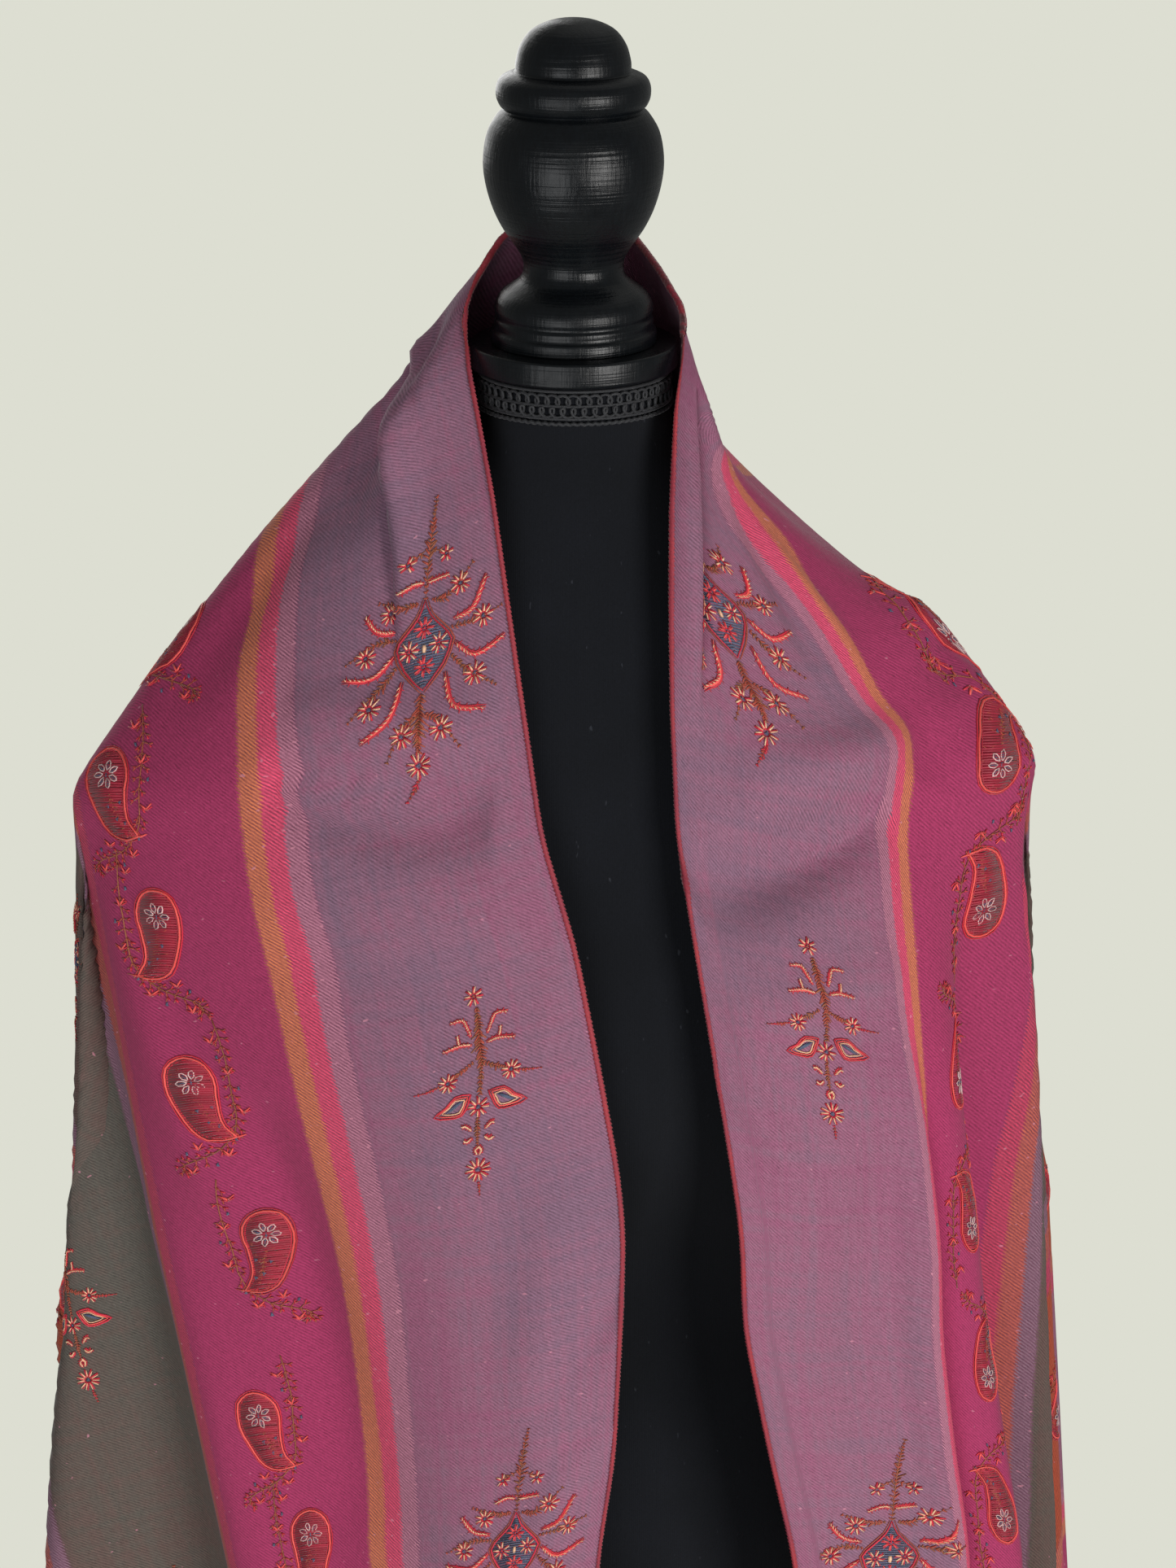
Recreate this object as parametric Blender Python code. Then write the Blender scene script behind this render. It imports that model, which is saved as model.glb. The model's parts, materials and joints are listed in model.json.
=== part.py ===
"""Pashmina shawl hung open over a dress form, metres, +Z up, wearer's front to -Y."""
import bpy
import bmesh
from math import atan2, cos, exp, hypot, pi, radians, sin, sqrt
from mathutils import Vector

# Whole cloth, laid flat
CLOTH_LENGTH = 2.00
CLOTH_WIDTH = 1.00
CLOTH_WALL = 0.0012
SEAM_GAP = 0.0003
EDGE_CORD_GAP = 0.0009
EDGE_CORD_WIDTH = 0.0020
EDGE_CORD_THICK = 0.0016
FOLD_RADIUS = 0.010          # rounding of every fold, at the shoulder
FOLD_OPENING = 0.026         # more rounding for each metre of drop
CLOTH_CLEARANCE = 0.0050     # cloth to form

# Dress form and stand
DISC_TOP = 1.420
DISC_RADIUS = 0.0445
DISC_THICKNESS = 0.0105
BASE_RADIUS = 0.165
BASE_THICKNESS = 0.028
POLE_RADIUS = 0.0150
BRAID_TOP = -0.0115
BRAID_HEIGHT = 0.0165
BRAID_THICKNESS = 0.0016

# Body of the form: drop below the disc top, half width, front depth, back depth
BODY_ROWS = (
    (0.0108, 0.0400, 0.0395, 0.0400),
    (0.0300, 0.0415, 0.0405, 0.0420),
    (0.0450, 0.0470, 0.0435, 0.0480),
    (0.0700, 0.0670, 0.0510, 0.0590),
    (0.0950, 0.0960, 0.0600, 0.0690),
    (0.1250, 0.1380, 0.0700, 0.0790),
    (0.1550, 0.1760, 0.0790, 0.0850),
    (0.1850, 0.1950, 0.0860, 0.0890),
    (0.2250, 0.1870, 0.0960, 0.0930),
    (0.2600, 0.1680, 0.1070, 0.0935),
    (0.3000, 0.1520, 0.1150, 0.0925),
    (0.3400, 0.1420, 0.1100, 0.0885),
    (0.4000, 0.1230, 0.0920, 0.0795),
    (0.4500, 0.1140, 0.0850, 0.0740),
    (0.5000, 0.1190, 0.0880, 0.0810),
    (0.5500, 0.1310, 0.0930, 0.0920),
    (0.5820, 0.1330, 0.0940, 0.0940),
    (0.5900, 0.1270, 0.0890, 0.0890))
BODY_SIDES = 40
BODY_RINGS = 30

# Turned finial: radius, height above the disc top
FINIAL_ROWS = (
    (0.0354, 0.0003), (0.0354, 0.0050), (0.0340, 0.0064), (0.0340, 0.0098),
    (0.0332, 0.0112), (0.0338, 0.0140), (0.0332, 0.0178), (0.0308, 0.0214),
    (0.0266, 0.0244), (0.0232, 0.0270), (0.0215, 0.0304), (0.0217, 0.0356),
    (0.0252, 0.0420), (0.0302, 0.0492), (0.0344, 0.0580), (0.0372, 0.0680),
    (0.0381, 0.0780), (0.0363, 0.0890), (0.0320, 0.0965), (0.0294, 0.0990),
    (0.0308, 0.1005), (0.0323, 0.1040), (0.0323, 0.1085), (0.0304, 0.1120),
    (0.0262, 0.1140), (0.0244, 0.1148), (0.0240, 0.1190), (0.0220, 0.1255),
    (0.0172, 0.1315), (0.0088, 0.1352), (0.0, 0.1362))
BASE_ROWS = (
    (0.0, 0.0), (0.160, 0.0), (0.165, 0.004), (0.165, 0.016),
    (0.158, 0.023), (0.140, 0.0255), (0.040, 0.028), (0.0, 0.028))

# Neck edge of the cloth behind the neck: along the edge from the nape, outward, back, up
NECK_EDGE = {
    "left": (
        (0.000, 0.0000, 0.0510, 0.0460),
        (0.033, 0.0290, 0.0370, 0.0410),
        (0.066, 0.0430, 0.0120, 0.0220)),
    "right": (
        (0.000, 0.0000, 0.0510, 0.0460),
        (0.026, 0.0220, 0.0410, 0.0420),
        (0.060, 0.0390, 0.0140, 0.0250),
        (0.078, 0.0460, 0.0010, 0.0100)),
}
# Roll of the cloth from the neck out to the shoulder point: along and across in the
# flat cloth, then outward, back, up
SHOULDER_ROLL = {
    "left": (
        (0.066, 0.000, 0.043, 0.012, 0.022), (0.071, 0.024, 0.056, 0.010, 0.012),
        (0.080, 0.052, 0.069, 0.007, -0.010), (0.110, 0.098, 0.103, 0.003, -0.048),
        (0.155, 0.133, 0.141, 0.000, -0.091), (0.212, 0.174, 0.187, -0.008, -0.148),
        (0.264, 0.212, 0.226, -0.016, -0.203)),
    "right": (
        (0.078, 0.000, 0.046, 0.001, 0.010), (0.083, 0.040, 0.053, 0.004, -0.012),
        (0.095, 0.080, 0.060, 0.004, -0.042), (0.112, 0.098, 0.081, 0.003, -0.058),
        (0.142, 0.118, 0.110, 0.000, -0.082), (0.212, 0.156, 0.166, -0.008, -0.130),
        (0.262, 0.188, 0.205, -0.016, -0.182)),
}
# Front edges: up, x of the left one, x of the right one, y of both
FRONT_EDGE = (
    (-0.004, -0.0431, 0.0449, -0.0180),
    (-0.020, -0.0392, 0.0418, -0.0300),
    (-0.055, -0.0317, 0.0394, -0.0540),
    (-0.095, -0.0254, 0.0390, -0.0710),
    (-0.139, -0.0186, 0.0393, -0.0860),
    (-0.188, -0.0111, 0.0415, -0.1000),
    (-0.234, 0.0035, 0.0490, -0.1130),
    (-0.284, 0.0138, 0.0574, -0.1240),
    (-0.332, 0.0225, 0.0650, -0.1300),
    (-0.362, 0.0251, 0.0690, -0.1310),
    (-0.406, 0.0240, 0.0703, -0.1310),
    (-0.471, 0.0213, 0.0825, -0.1300),
    (-0.524, 0.0142, 0.0939, -0.1290),
    (-0.620, 0.0100, 0.1050, -0.1300),
    (-0.760, 0.0140, 0.1080, -0.1340),
    (-0.900, 0.0180, 0.1060, -0.1380))
# How far a front bows out over the chest: up, forward
CHEST_BOW = (
    (0.020, 0.000), (-0.060, 0.010), (-0.150, 0.020), (-0.230, 0.030),
    (-0.300, 0.030), (-0.400, 0.014), (-0.520, 0.004), (-1.000, 0.000))
# Collar lobe that laps over each front at the neck: share of the front's width,
# outward and back shift where it is fullest
COLLAR_LOBE = {
    "left": ((0.36, 0.010, -0.012), (0.62, -0.010, 0.014)),
    "right": ((0.36, 0.006, -0.014), (0.64, -0.012, 0.018)),
}
COLLAR_FULL = {"left": 0.28, "right": 0.24}     # share of the roll's run, fullest
COLLAR_FADES = {"left": 0.62, "right": 0.52}    # share of the roll's run, gone
# Folds that fan out below a shoulder point: turn in the flat cloth (rad),
# run outward and run backward for each metre of drop
FAN_FOLDS = {
    "left": (
        (0.000, -0.170, -0.140),
        (0.133, -0.165, -0.034),
        (0.367, 0.087, -0.026),
        (0.610, -0.140, 0.055),
        (0.850, 0.090, 0.110),
        (1.100, -0.150, 0.170),
        (1.360, 0.080, 0.215),
        (1.571, -0.060, 0.270)),
    "right": (
        (0.000, 0.010, -0.060),
        (0.100, 0.085, -0.030),
        (0.350, -0.135, 0.000),
        (0.630, 0.105, 0.060),
        (0.870, -0.120, 0.110),
        (1.120, 0.120, 0.180),
        (1.380, -0.110, 0.205),
        (1.571, 0.030, 0.300)),
}
TURN_SHARE = 0.16            # share of a leg that the turn at each end takes
# Folds inside a front: across in the flat cloth, outward and back shift once open
FRONT_FOLDS = {
    "left": ((0.075, 0.000, -0.012), (0.150, 0.000, 0.010)),
    "right": ((0.120, 0.052, -0.006), (0.152, -0.016, 0.022)),
}
FRONT_FOLD_OPENS = 0.36       # drop over which a front's folds open
# Folds down the back: share from the centre to the shoulder line, back shift at the hem
BACK_FOLDS = (
    (0.00, 0.030), (0.22, -0.010), (0.45, 0.045),
    (0.68, 0.035), (0.86, 0.045), (1.00, 0.000))
# Centre of the back: run down the cloth, back, up
BACK_LINE = (
    (0.000, 0.0510, 0.0460), (0.060, 0.0680, -0.0120), (0.130, 0.0920, -0.0780),
    (0.200, 0.1050, -0.1470), (0.300, 0.1110, -0.2470), (1.000, 0.1250, -0.9450))

# Net of the cloth
ROLL_ROWS = 12
FRONT_COLUMNS = 8
BACK_COLUMNS = 8
FOLD_COLUMNS = (0.0, 0.09, 0.20, 0.50, 0.80, 0.91)     # shares of one leg of a fold
DROP_ROWS = (0.0, 0.13, 0.20, 0.28, 0.37, 0.47, 0.58, 0.70, 0.84, 1.0)
CENTRE_ACROSS = 0.200         # net row at the centre back, level with the shoulder points
SIDE_SIGN = {"left": -1.0, "right": 1.0}


def column(rows, index):
    """One named column of a table."""
    return [row[index] for row in rows]


def between(x, xs, ys):
    """Linear reading of a rising table."""
    if x <= xs[0]:
        return ys[0]
    for k in range(1, len(xs)):
        if x <= xs[k]:
            w = (x - xs[k - 1]) / (xs[k] - xs[k - 1])
            return ys[k - 1] + (ys[k] - ys[k - 1]) * w
    return ys[-1]


def along(run, runs, points):
    """Point at a run along a polyline."""
    return Vector(between(run, runs, [p[i] for p in points]) for i in range(3))


def runs_of(points, start=0.0):
    """Running length at each point of a polyline."""
    runs = [start]
    for a, b in zip(points, points[1:]):
        runs.append(runs[-1] + (b - a).length)
    return runs


def make_side(name):
    """Lines that carry one half of the cloth."""
    sign = SIDE_SIGN[name]
    neck = [Vector((sign * r[1], r[2], r[3])) for r in NECK_EDGE[name]]
    roll = [Vector((sign * r[2], r[3], r[4])) for r in SHOULDER_ROLL[name]]
    x_column = 1 if name == "left" else 2
    edge = [neck[-1]] + [Vector((r[x_column], r[3], r[0])) for r in FRONT_EDGE]
    neck_run = NECK_EDGE[name][-1][0]
    roll_runs = runs_of(roll)
    return {
        "name": name, "sign": sign, "neck": neck, "roll": roll, "edge": edge,
        "neck_runs": column(NECK_EDGE[name], 0), "neck_run": neck_run,
        "edge_runs": runs_of(edge, neck_run),
        "roll_runs": [r / roll_runs[-1] for r in roll_runs],
        "roll_along": column(SHOULDER_ROLL[name], 0), "roll_across": column(SHOULDER_ROLL[name], 1),
        "along": SHOULDER_ROLL[name][-1][0], "across": SHOULDER_ROLL[name][-1][1]}


SIDES = {name: make_side(name) for name in ("left", "right")}


def edge_point(side, s):
    """Neck edge behind the neck, then the front edge."""
    if s < side["neck_run"]:
        return along(s, side["neck_runs"], side["neck"])
    return along(s, side["edge_runs"], side["edge"])


def round_turns(x, xs, ys):
    """Reading of a table that holds level along each leg and moves on in the turns."""
    for k in range(1, len(xs)):
        if x <= xs[k] or k == len(xs) - 1:
            w = min(1.0, max(0.0, (x - xs[k - 1]) / (xs[k] - xs[k - 1])))
            start = min(1.0, w / TURN_SHARE)
            end = max(0.0, (w - 1.0 + TURN_SHARE) / TURN_SHARE)
            return ys[k - 1] + (ys[k] - ys[k - 1]) * (start + end) / 2
    return ys[-1]


def fan_point(side, drop, turn):
    """Cloth below the shoulder point, in folds that open as they fall."""
    rows = FAN_FOLDS[side["name"]]
    out = between(turn, column(rows, 0), column(rows, 1))
    back = round_turns(turn, column(rows, 0), column(rows, 2))
    spread = drop * drop / (drop + 0.02) if drop > 0 else 0.0
    fall = sqrt(max(0.2, 1.0 - out * out - back * back))
    return side["roll"][-1] + Vector((side["sign"] * out * spread, back * spread, -drop * fall))


def collar_fullness(name, share):
    """How far the collar lobe stands out at a share of the shoulder roll."""
    full, fades = COLLAR_FULL[name], COLLAR_FADES[name]
    rise = share / full if share < full else (fades - share) / (fades - full)
    rise = min(1.0, max(0.0, rise))
    return rise * rise * (3.0 - 2.0 * rise)


def front_point(side, s, t):
    """Front of the shawl, from its edge out to the roll or the first fold."""
    above = s <= side["along"]
    if above:
        width = between(s, side["roll_along"], side["roll_across"])
        outer = along(s, side["roll_along"], side["roll"])
    else:
        width = side["across"]
        outer = fan_point(side, s - side["along"], 0.0)
    w = min(1.0, t / width) if width > 1e-9 else 0.0
    p = edge_point(side, s).lerp(outer, w)
    bows = CHEST_BOW[::-1]
    bow = between(p.z, column(bows, 0), column(bows, 1))
    p.y -= bow * 4.0 * w * (1.0 - w)
    if above:
        share = between(s, side["roll_along"], side["roll_runs"])
        full = collar_fullness(side["name"], share)
        lobe = ((0.0, 0.0, 0.0),) + COLLAR_LOBE[side["name"]] + ((1.0, 0.0, 0.0),)
        p.x += side["sign"] * between(w, column(lobe, 0), column(lobe, 1)) * full
        p.y += between(w, column(lobe, 0), column(lobe, 2)) * full
    else:
        rows = ((0.0, 0.0, 0.0),) + FRONT_FOLDS[side["name"]] + ((width, 0.0, 0.0),)
        opened = min(1.0, max(0.0, s - side["along"] - 0.03) / FRONT_FOLD_OPENS)
        p.x += side["sign"] * between(t, column(rows, 0), column(rows, 1)) * opened
        p.y += between(t, column(rows, 0), column(rows, 2)) * opened
    return p


def back_point(side, s, t):
    """Back of the shawl, from the centre round to the roll or the last fold."""
    if t <= 1e-9:
        return edge_point(side, s)
    centre = Vector((0.0, between(t, column(BACK_LINE, 0), column(BACK_LINE, 1)),
                     between(t, column(BACK_LINE, 0), column(BACK_LINE, 2))))
    if t <= side["across"]:
        span = between(t, side["roll_across"], side["roll_along"])
        outer = along(t, side["roll_across"], side["roll"])
    else:
        span = side["along"]
        outer = fan_point(side, t - side["across"], pi / 2)
    w = min(1.0, s / span)
    level = w * w * (3.0 - 2.0 * w)
    p = Vector((
        outer.x * sin(w * pi / 2),
        outer.y + (centre.y - outer.y) * cos(w * pi / 2),
        centre.z + (outer.z - centre.z) * level))
    if t < 0.04:
        p = edge_point(side, w * side["neck_run"]).lerp(p, t / 0.04)
    if t > side["across"]:
        shift = between(w, column(BACK_FOLDS, 0), column(BACK_FOLDS, 1))
        p.y += shift * (t - side["across"]) / (CLOTH_WIDTH - side["across"])
    return p


def sharp_point(s, t):
    """Where the flat point (s, t) lies, before the folds are rounded."""
    side = SIDES["left" if s < 0 else "right"]
    s = abs(s)
    past_along = s - side["along"]
    past_across = t - side["across"]
    if past_along > 0 and past_across > 0:
        return fan_point(side, hypot(past_along, past_across), atan2(past_across, past_along))
    roll_t = between(s, side["roll_along"], side["roll_across"])
    if past_across <= 0 and (past_along > 0 or (s >= side["neck_run"] and t <= roll_t)):
        return front_point(side, s, t)
    return back_point(side, s, t)


def body_section(z):
    """Half width, front depth and back depth of the form at a height from the disc top."""
    drops = column(BODY_ROWS, 0)
    return [between(-z, drops, column(BODY_ROWS, i)) for i in (1, 2, 3)]


def clear_of_form(p):
    """Moves a cloth point out of the form and its neck disc."""
    if p.z > 0.008 or p.z < -BODY_ROWS[-1][0] - 0.010:
        return p
    half, front, back = body_section(p.z)
    if p.z > -DISC_THICKNESS - 0.008:
        half, front, back = (max(d, DISC_RADIUS) for d in (half, front, back))
    depth = back if p.y > 0 else front
    inside = hypot(p.x / (half + CLOTH_CLEARANCE), p.y / (depth + CLOTH_CLEARANCE))
    if inside < 1.0:
        p.x /= inside
        p.y /= inside
    return p


def cloth_point(s, t):
    """The flat point (s, t) on the hanging cloth, folds rounded, in the part's frame."""
    side = SIDES["left" if s < 0 else "right"]
    drop = hypot(max(0.0, abs(s) - side["along"]), max(0.0, t - side["across"]))
    reach = FOLD_RADIUS + FOLD_OPENING * drop
    total = Vector((0.0, 0.0, 0.0))
    weights = 0.0
    for i in (-1.0, -0.5, 0.0, 0.5, 1.0):
        for j in (-1.0, -0.5, 0.0, 0.5, 1.0):
            weight = exp(-1.2 * (i * i + j * j))
            near_s = min(max(s + i * reach, -CLOTH_LENGTH / 2), CLOTH_LENGTH / 2)
            near_t = min(max(t + j * reach, 0.0), CLOTH_WIDTH)
            total += weight * sharp_point(near_s, near_t)
            weights += weight
    p = clear_of_form(total / weights)
    return p + Vector((0.0, 0.0, DISC_TOP))


def fan_turns(name):
    """Turns of the net columns in the fan, a few to each fold."""
    rows = FAN_FOLDS[name]
    turns = []
    for a, b in zip(rows, rows[1:]):
        turns += [a[0] + (b[0] - a[0]) * share for share in FOLD_COLUMNS]
    return turns + [pi / 2]


def hem_drop(side, turn):
    """Distance from the shoulder point to the hem along a turn."""
    down = (CLOTH_LENGTH / 2 - side["along"]) / max(1e-6, cos(turn))
    over = (CLOTH_WIDTH - side["across"]) / max(1e-6, sin(turn))
    return min(down, over)


def upper_row(side, share):
    """Flat points of one net row above the shoulder point, edge to centre back."""
    roll_s = between(share, side["roll_runs"], side["roll_along"])
    roll_t = between(share, side["roll_runs"], side["roll_across"])
    row = [(roll_s, roll_t * k / FRONT_COLUMNS) for k in range(FRONT_COLUMNS + 1)]
    for k in range(1, BACK_COLUMNS + 1):
        w = 1.0 - k / BACK_COLUMNS
        row.append((roll_s * w, CENTRE_ACROSS * share + (roll_t - CENTRE_ACROSS * share) * w))
    return row


def lower_row(side, share):
    """Flat points of one net row below the shoulder point, edge to centre back."""
    down = side["along"] + (CLOTH_LENGTH / 2 - side["along"]) * share
    over = side["across"] + (CLOTH_WIDTH - side["across"]) * share
    centre = CENTRE_ACROSS + (CLOTH_WIDTH - CENTRE_ACROSS) * share
    row = [(down, side["across"] * k / FRONT_COLUMNS) for k in range(FRONT_COLUMNS)]
    for turn in fan_turns(side["name"]):
        drop = hem_drop(side, turn) * share
        row.append((side["along"] + drop * cos(turn), side["across"] + drop * sin(turn)))
    for k in range(1, BACK_COLUMNS + 1):
        w = 1.0 - k / BACK_COLUMNS
        row.append((side["along"] * w, centre + (over - centre) * w))
    return row


def cloth_net():
    """Flat corners of every face of the net."""
    faces = []
    for side in SIDES.values():
        upper = [upper_row(side, k / ROLL_ROWS) for k in range(ROLL_ROWS + 1)]
        lower = [lower_row(side, share) for share in DROP_ROWS]
        for rows in (upper, lower):
            for row, below in zip(rows, rows[1:]):
                for k in range(len(row) - 1):
                    ring = (row[k], row[k + 1], below[k + 1], below[k])
                    faces.append([(side["sign"] * s, t) for s, t in ring])
    return faces


def make_material(name, colour, roughness, metallic=0.0):
    material = bpy.data.materials.new(name)
    material.use_nodes = True
    shader = material.node_tree.nodes["Principled BSDF"]
    shader.inputs["Base Color"].default_value = (*colour, 1.0)
    shader.inputs["Roughness"].default_value = roughness
    shader.inputs["Metallic"].default_value = metallic
    material.diffuse_color = (*colour, 1.0)
    return material


def make_object(name, bm, material, smooth=True):
    """Object from a bmesh, shaded smooth away from its sharp edges."""
    bmesh.ops.recalc_face_normals(bm, faces=bm.faces)
    mesh = bpy.data.meshes.new(name)
    bm.to_mesh(mesh)
    bm.free()
    mesh.materials.append(material)
    if smooth:
        mesh.shade_smooth()
        mesh.set_sharp_from_angle(angle=radians(40))
    obj = bpy.data.objects.new(name, mesh)
    bpy.context.scene.collection.objects.link(obj)
    return obj


def make_shawl(material):
    """The woven panel: the net of the hanging cloth with a wall on it."""
    bm = bmesh.new()
    corners = {}
    for ring in cloth_net():
        verts = []
        for s, t in ring:
            key = (round(s, 5) + 0.0, round(t, 5) + 0.0)
            if key not in corners:
                corners[key] = bm.verts.new(cloth_point(s, t))
            if corners[key] not in verts:
                verts.append(corners[key])
        if len(verts) > 2:
            bm.faces.new(verts)
    obj = make_object("shawl_panel", bm, material)
    wall = obj.modifiers.new("wall", "SOLIDIFY")
    wall.thickness = CLOTH_WALL
    wall.offset = 0.0
    return obj


def edge_loop():
    """Flat points of the net round the cloth's four edges, in order."""
    left, right = SIDES["left"], SIDES["right"]
    ring = []
    for side, order in ((left, 1), (right, -1)):
        neck = [(s, t) for s, t in upper_row(side, 0.0)[FRONT_COLUMNS:]]
        front = [(upper_row(side, k / ROLL_ROWS)[0]) for k in range(1, ROLL_ROWS + 1)]
        front += [lower_row(side, share)[0] for share in DROP_ROWS[1:]]
        hem = lower_row(side, 1.0)[1:]
        run = neck[::-1] + front + hem
        run = [(side["sign"] * s, t) for s, t in run]
        ring.append(run if order > 0 else run[::-1])
    first, second = ring
    return first + second[1:-1]


def make_edge_cord(material):
    """The whipped edge: a flat cord laid just outside the cloth's edge."""
    loop = edge_loop()
    count = len(loop)
    points = [cloth_point(s, t) for s, t in loop]
    bm = bmesh.new()
    rings = []
    step = 0.012
    for k, (s, t) in enumerate(loop):
        tangent = (points[(k + 1) % count] - points[k - 1]).normalized()
        half = CLOTH_LENGTH / 2
        in_s = s + (step if s < -half + 1e-6 else -step if s > half - 1e-6 else 0.0)
        in_t = t + (step if t < 1e-6 else -step if t > CLOTH_WIDTH - 1e-6 else 0.0)
        outward = points[k] - cloth_point(in_s, in_t)
        outward = (outward - tangent * outward.dot(tangent)).normalized()
        normal = tangent.cross(outward).normalized()
        near = points[k] + outward * EDGE_CORD_GAP
        far = points[k] + outward * (EDGE_CORD_GAP + EDGE_CORD_WIDTH)
        lift = normal * (EDGE_CORD_THICK / 2)
        rings.append([bm.verts.new(q) for q in (near - lift, far - lift, far + lift, near + lift)])
    for k in range(count):
        a, b = rings[k], rings[(k + 1) % count]
        for i in range(4):
            j = (i + 1) % 4
            bm.faces.new((a[i], a[j], b[j], b[i]))
    return make_object("edge_whipping", bm, material, smooth=False)


def body_ring(drop, grow=0.0, sides=BODY_SIDES):
    """Points round the form at a drop below the disc top."""
    half, front, back = body_section(-drop)
    ring = []
    for k in range(sides):
        angle = 2 * pi * k / sides
        depth = back if sin(angle) > 0 else front
        ring.append(Vector((
            (half + grow) * cos(angle),
            (depth + grow) * sin(angle),
            DISC_TOP - drop)))
    return ring


def skin_rings(bm, rings):
    """Faces between rings of points, first and last capped."""
    rows = [[bm.verts.new(p) for p in ring] for ring in rings]
    for a, b in zip(rows, rows[1:]):
        for k in range(len(a)):
            j = (k + 1) % len(a)
            bm.faces.new((a[k], a[j], b[j], b[k]))
    bm.faces.new(rows[0])
    bm.faces.new(rows[-1][::-1])


def make_body(material):
    """Limbless torso of the form, closed at neck and hip."""
    top, bottom = BODY_ROWS[0][0], BODY_ROWS[-2][0]
    drops = [top + (bottom - top) * k / BODY_RINGS for k in range(BODY_RINGS + 1)]
    bm = bmesh.new()
    skin_rings(bm, [body_ring(d) for d in drops] + [body_ring(BODY_ROWS[-1][0])])
    return make_object("form_body", bm, material)


def make_braid(material):
    """Braid trim round the form's neck, a band standing off the cover."""
    top = -BRAID_TOP
    drops = [top, top + BRAID_HEIGHT * 0.5, top + BRAID_HEIGHT]
    bm = bmesh.new()
    outer = [body_ring(d, SEAM_GAP * 2 + BRAID_THICKNESS) for d in drops]
    inner = [body_ring(d, SEAM_GAP * 2) for d in drops]
    rows = [[bm.verts.new(p) for p in ring] for ring in outer + inner[::-1]]
    for a, b in zip(rows, rows[1:] + rows[:1]):
        for k in range(BODY_SIDES):
            j = (k + 1) % BODY_SIDES
            bm.faces.new((a[k], a[j], b[j], b[k]))
    return make_object("neck_braid", bm, material)


def make_turned(name, rows, lift, material, steps=40):
    """Turned piece: a profile spun round the upright axis."""
    bm = bmesh.new()
    verts = [bm.verts.new((r, 0.0, lift + z)) for r, z in rows]
    edges = [bm.edges.new(pair) for pair in zip(verts, verts[1:])]
    bmesh.ops.spin(
        bm, geom=verts + edges, cent=(0, 0, 0), axis=(0, 0, 1),
        angle=2 * pi, steps=steps, use_merge=True)
    bmesh.ops.remove_doubles(bm, verts=bm.verts, dist=0.00002)
    return make_object(name, bm, material)


def make_disc_rows():
    """Neck disc with eased rims: radius, height from the disc top."""
    low = -DISC_THICKNESS
    ease = 0.0015
    return ((0.0, low), (DISC_RADIUS - ease, low), (DISC_RADIUS, low + ease),
            (DISC_RADIUS, -ease), (DISC_RADIUS - ease, 0.0), (0.0, 0.0))


def main():
    for obj in list(bpy.data.objects):
        bpy.data.objects.remove(obj)
    cloth = make_material("pashmina_wool", (0.25, 0.09, 0.20), 0.85)
    thread = make_material("edge_thread", (0.52, 0.05, 0.08), 0.6)
    jersey = make_material("black_jersey", (0.010, 0.011, 0.016), 0.9)
    braid = make_material("black_braid", (0.008, 0.008, 0.010), 0.6)
    wood = make_material("black_painted_wood", (0.012, 0.013, 0.014), 0.4)
    make_shawl(cloth)
    make_edge_cord(thread)
    make_body(jersey)
    make_braid(braid)
    make_turned("neck_disc", make_disc_rows(), DISC_TOP, wood)
    finial = ((0.0, FINIAL_ROWS[0][1]),) + FINIAL_ROWS
    make_turned("finial", finial, DISC_TOP, wood, 32)
    pole_top = DISC_TOP - BODY_ROWS[-1][0] - SEAM_GAP
    pole_low = BASE_THICKNESS + SEAM_GAP
    pole_rows = ((0.0, pole_low), (POLE_RADIUS, pole_low), (POLE_RADIUS, pole_top), (0.0, pole_top))
    make_turned("pole", pole_rows, 0.0, wood, 24)
    make_turned("stand_base", BASE_ROWS, 0.0, wood, 56)


if __name__ == "__main__":
    main()
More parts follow.
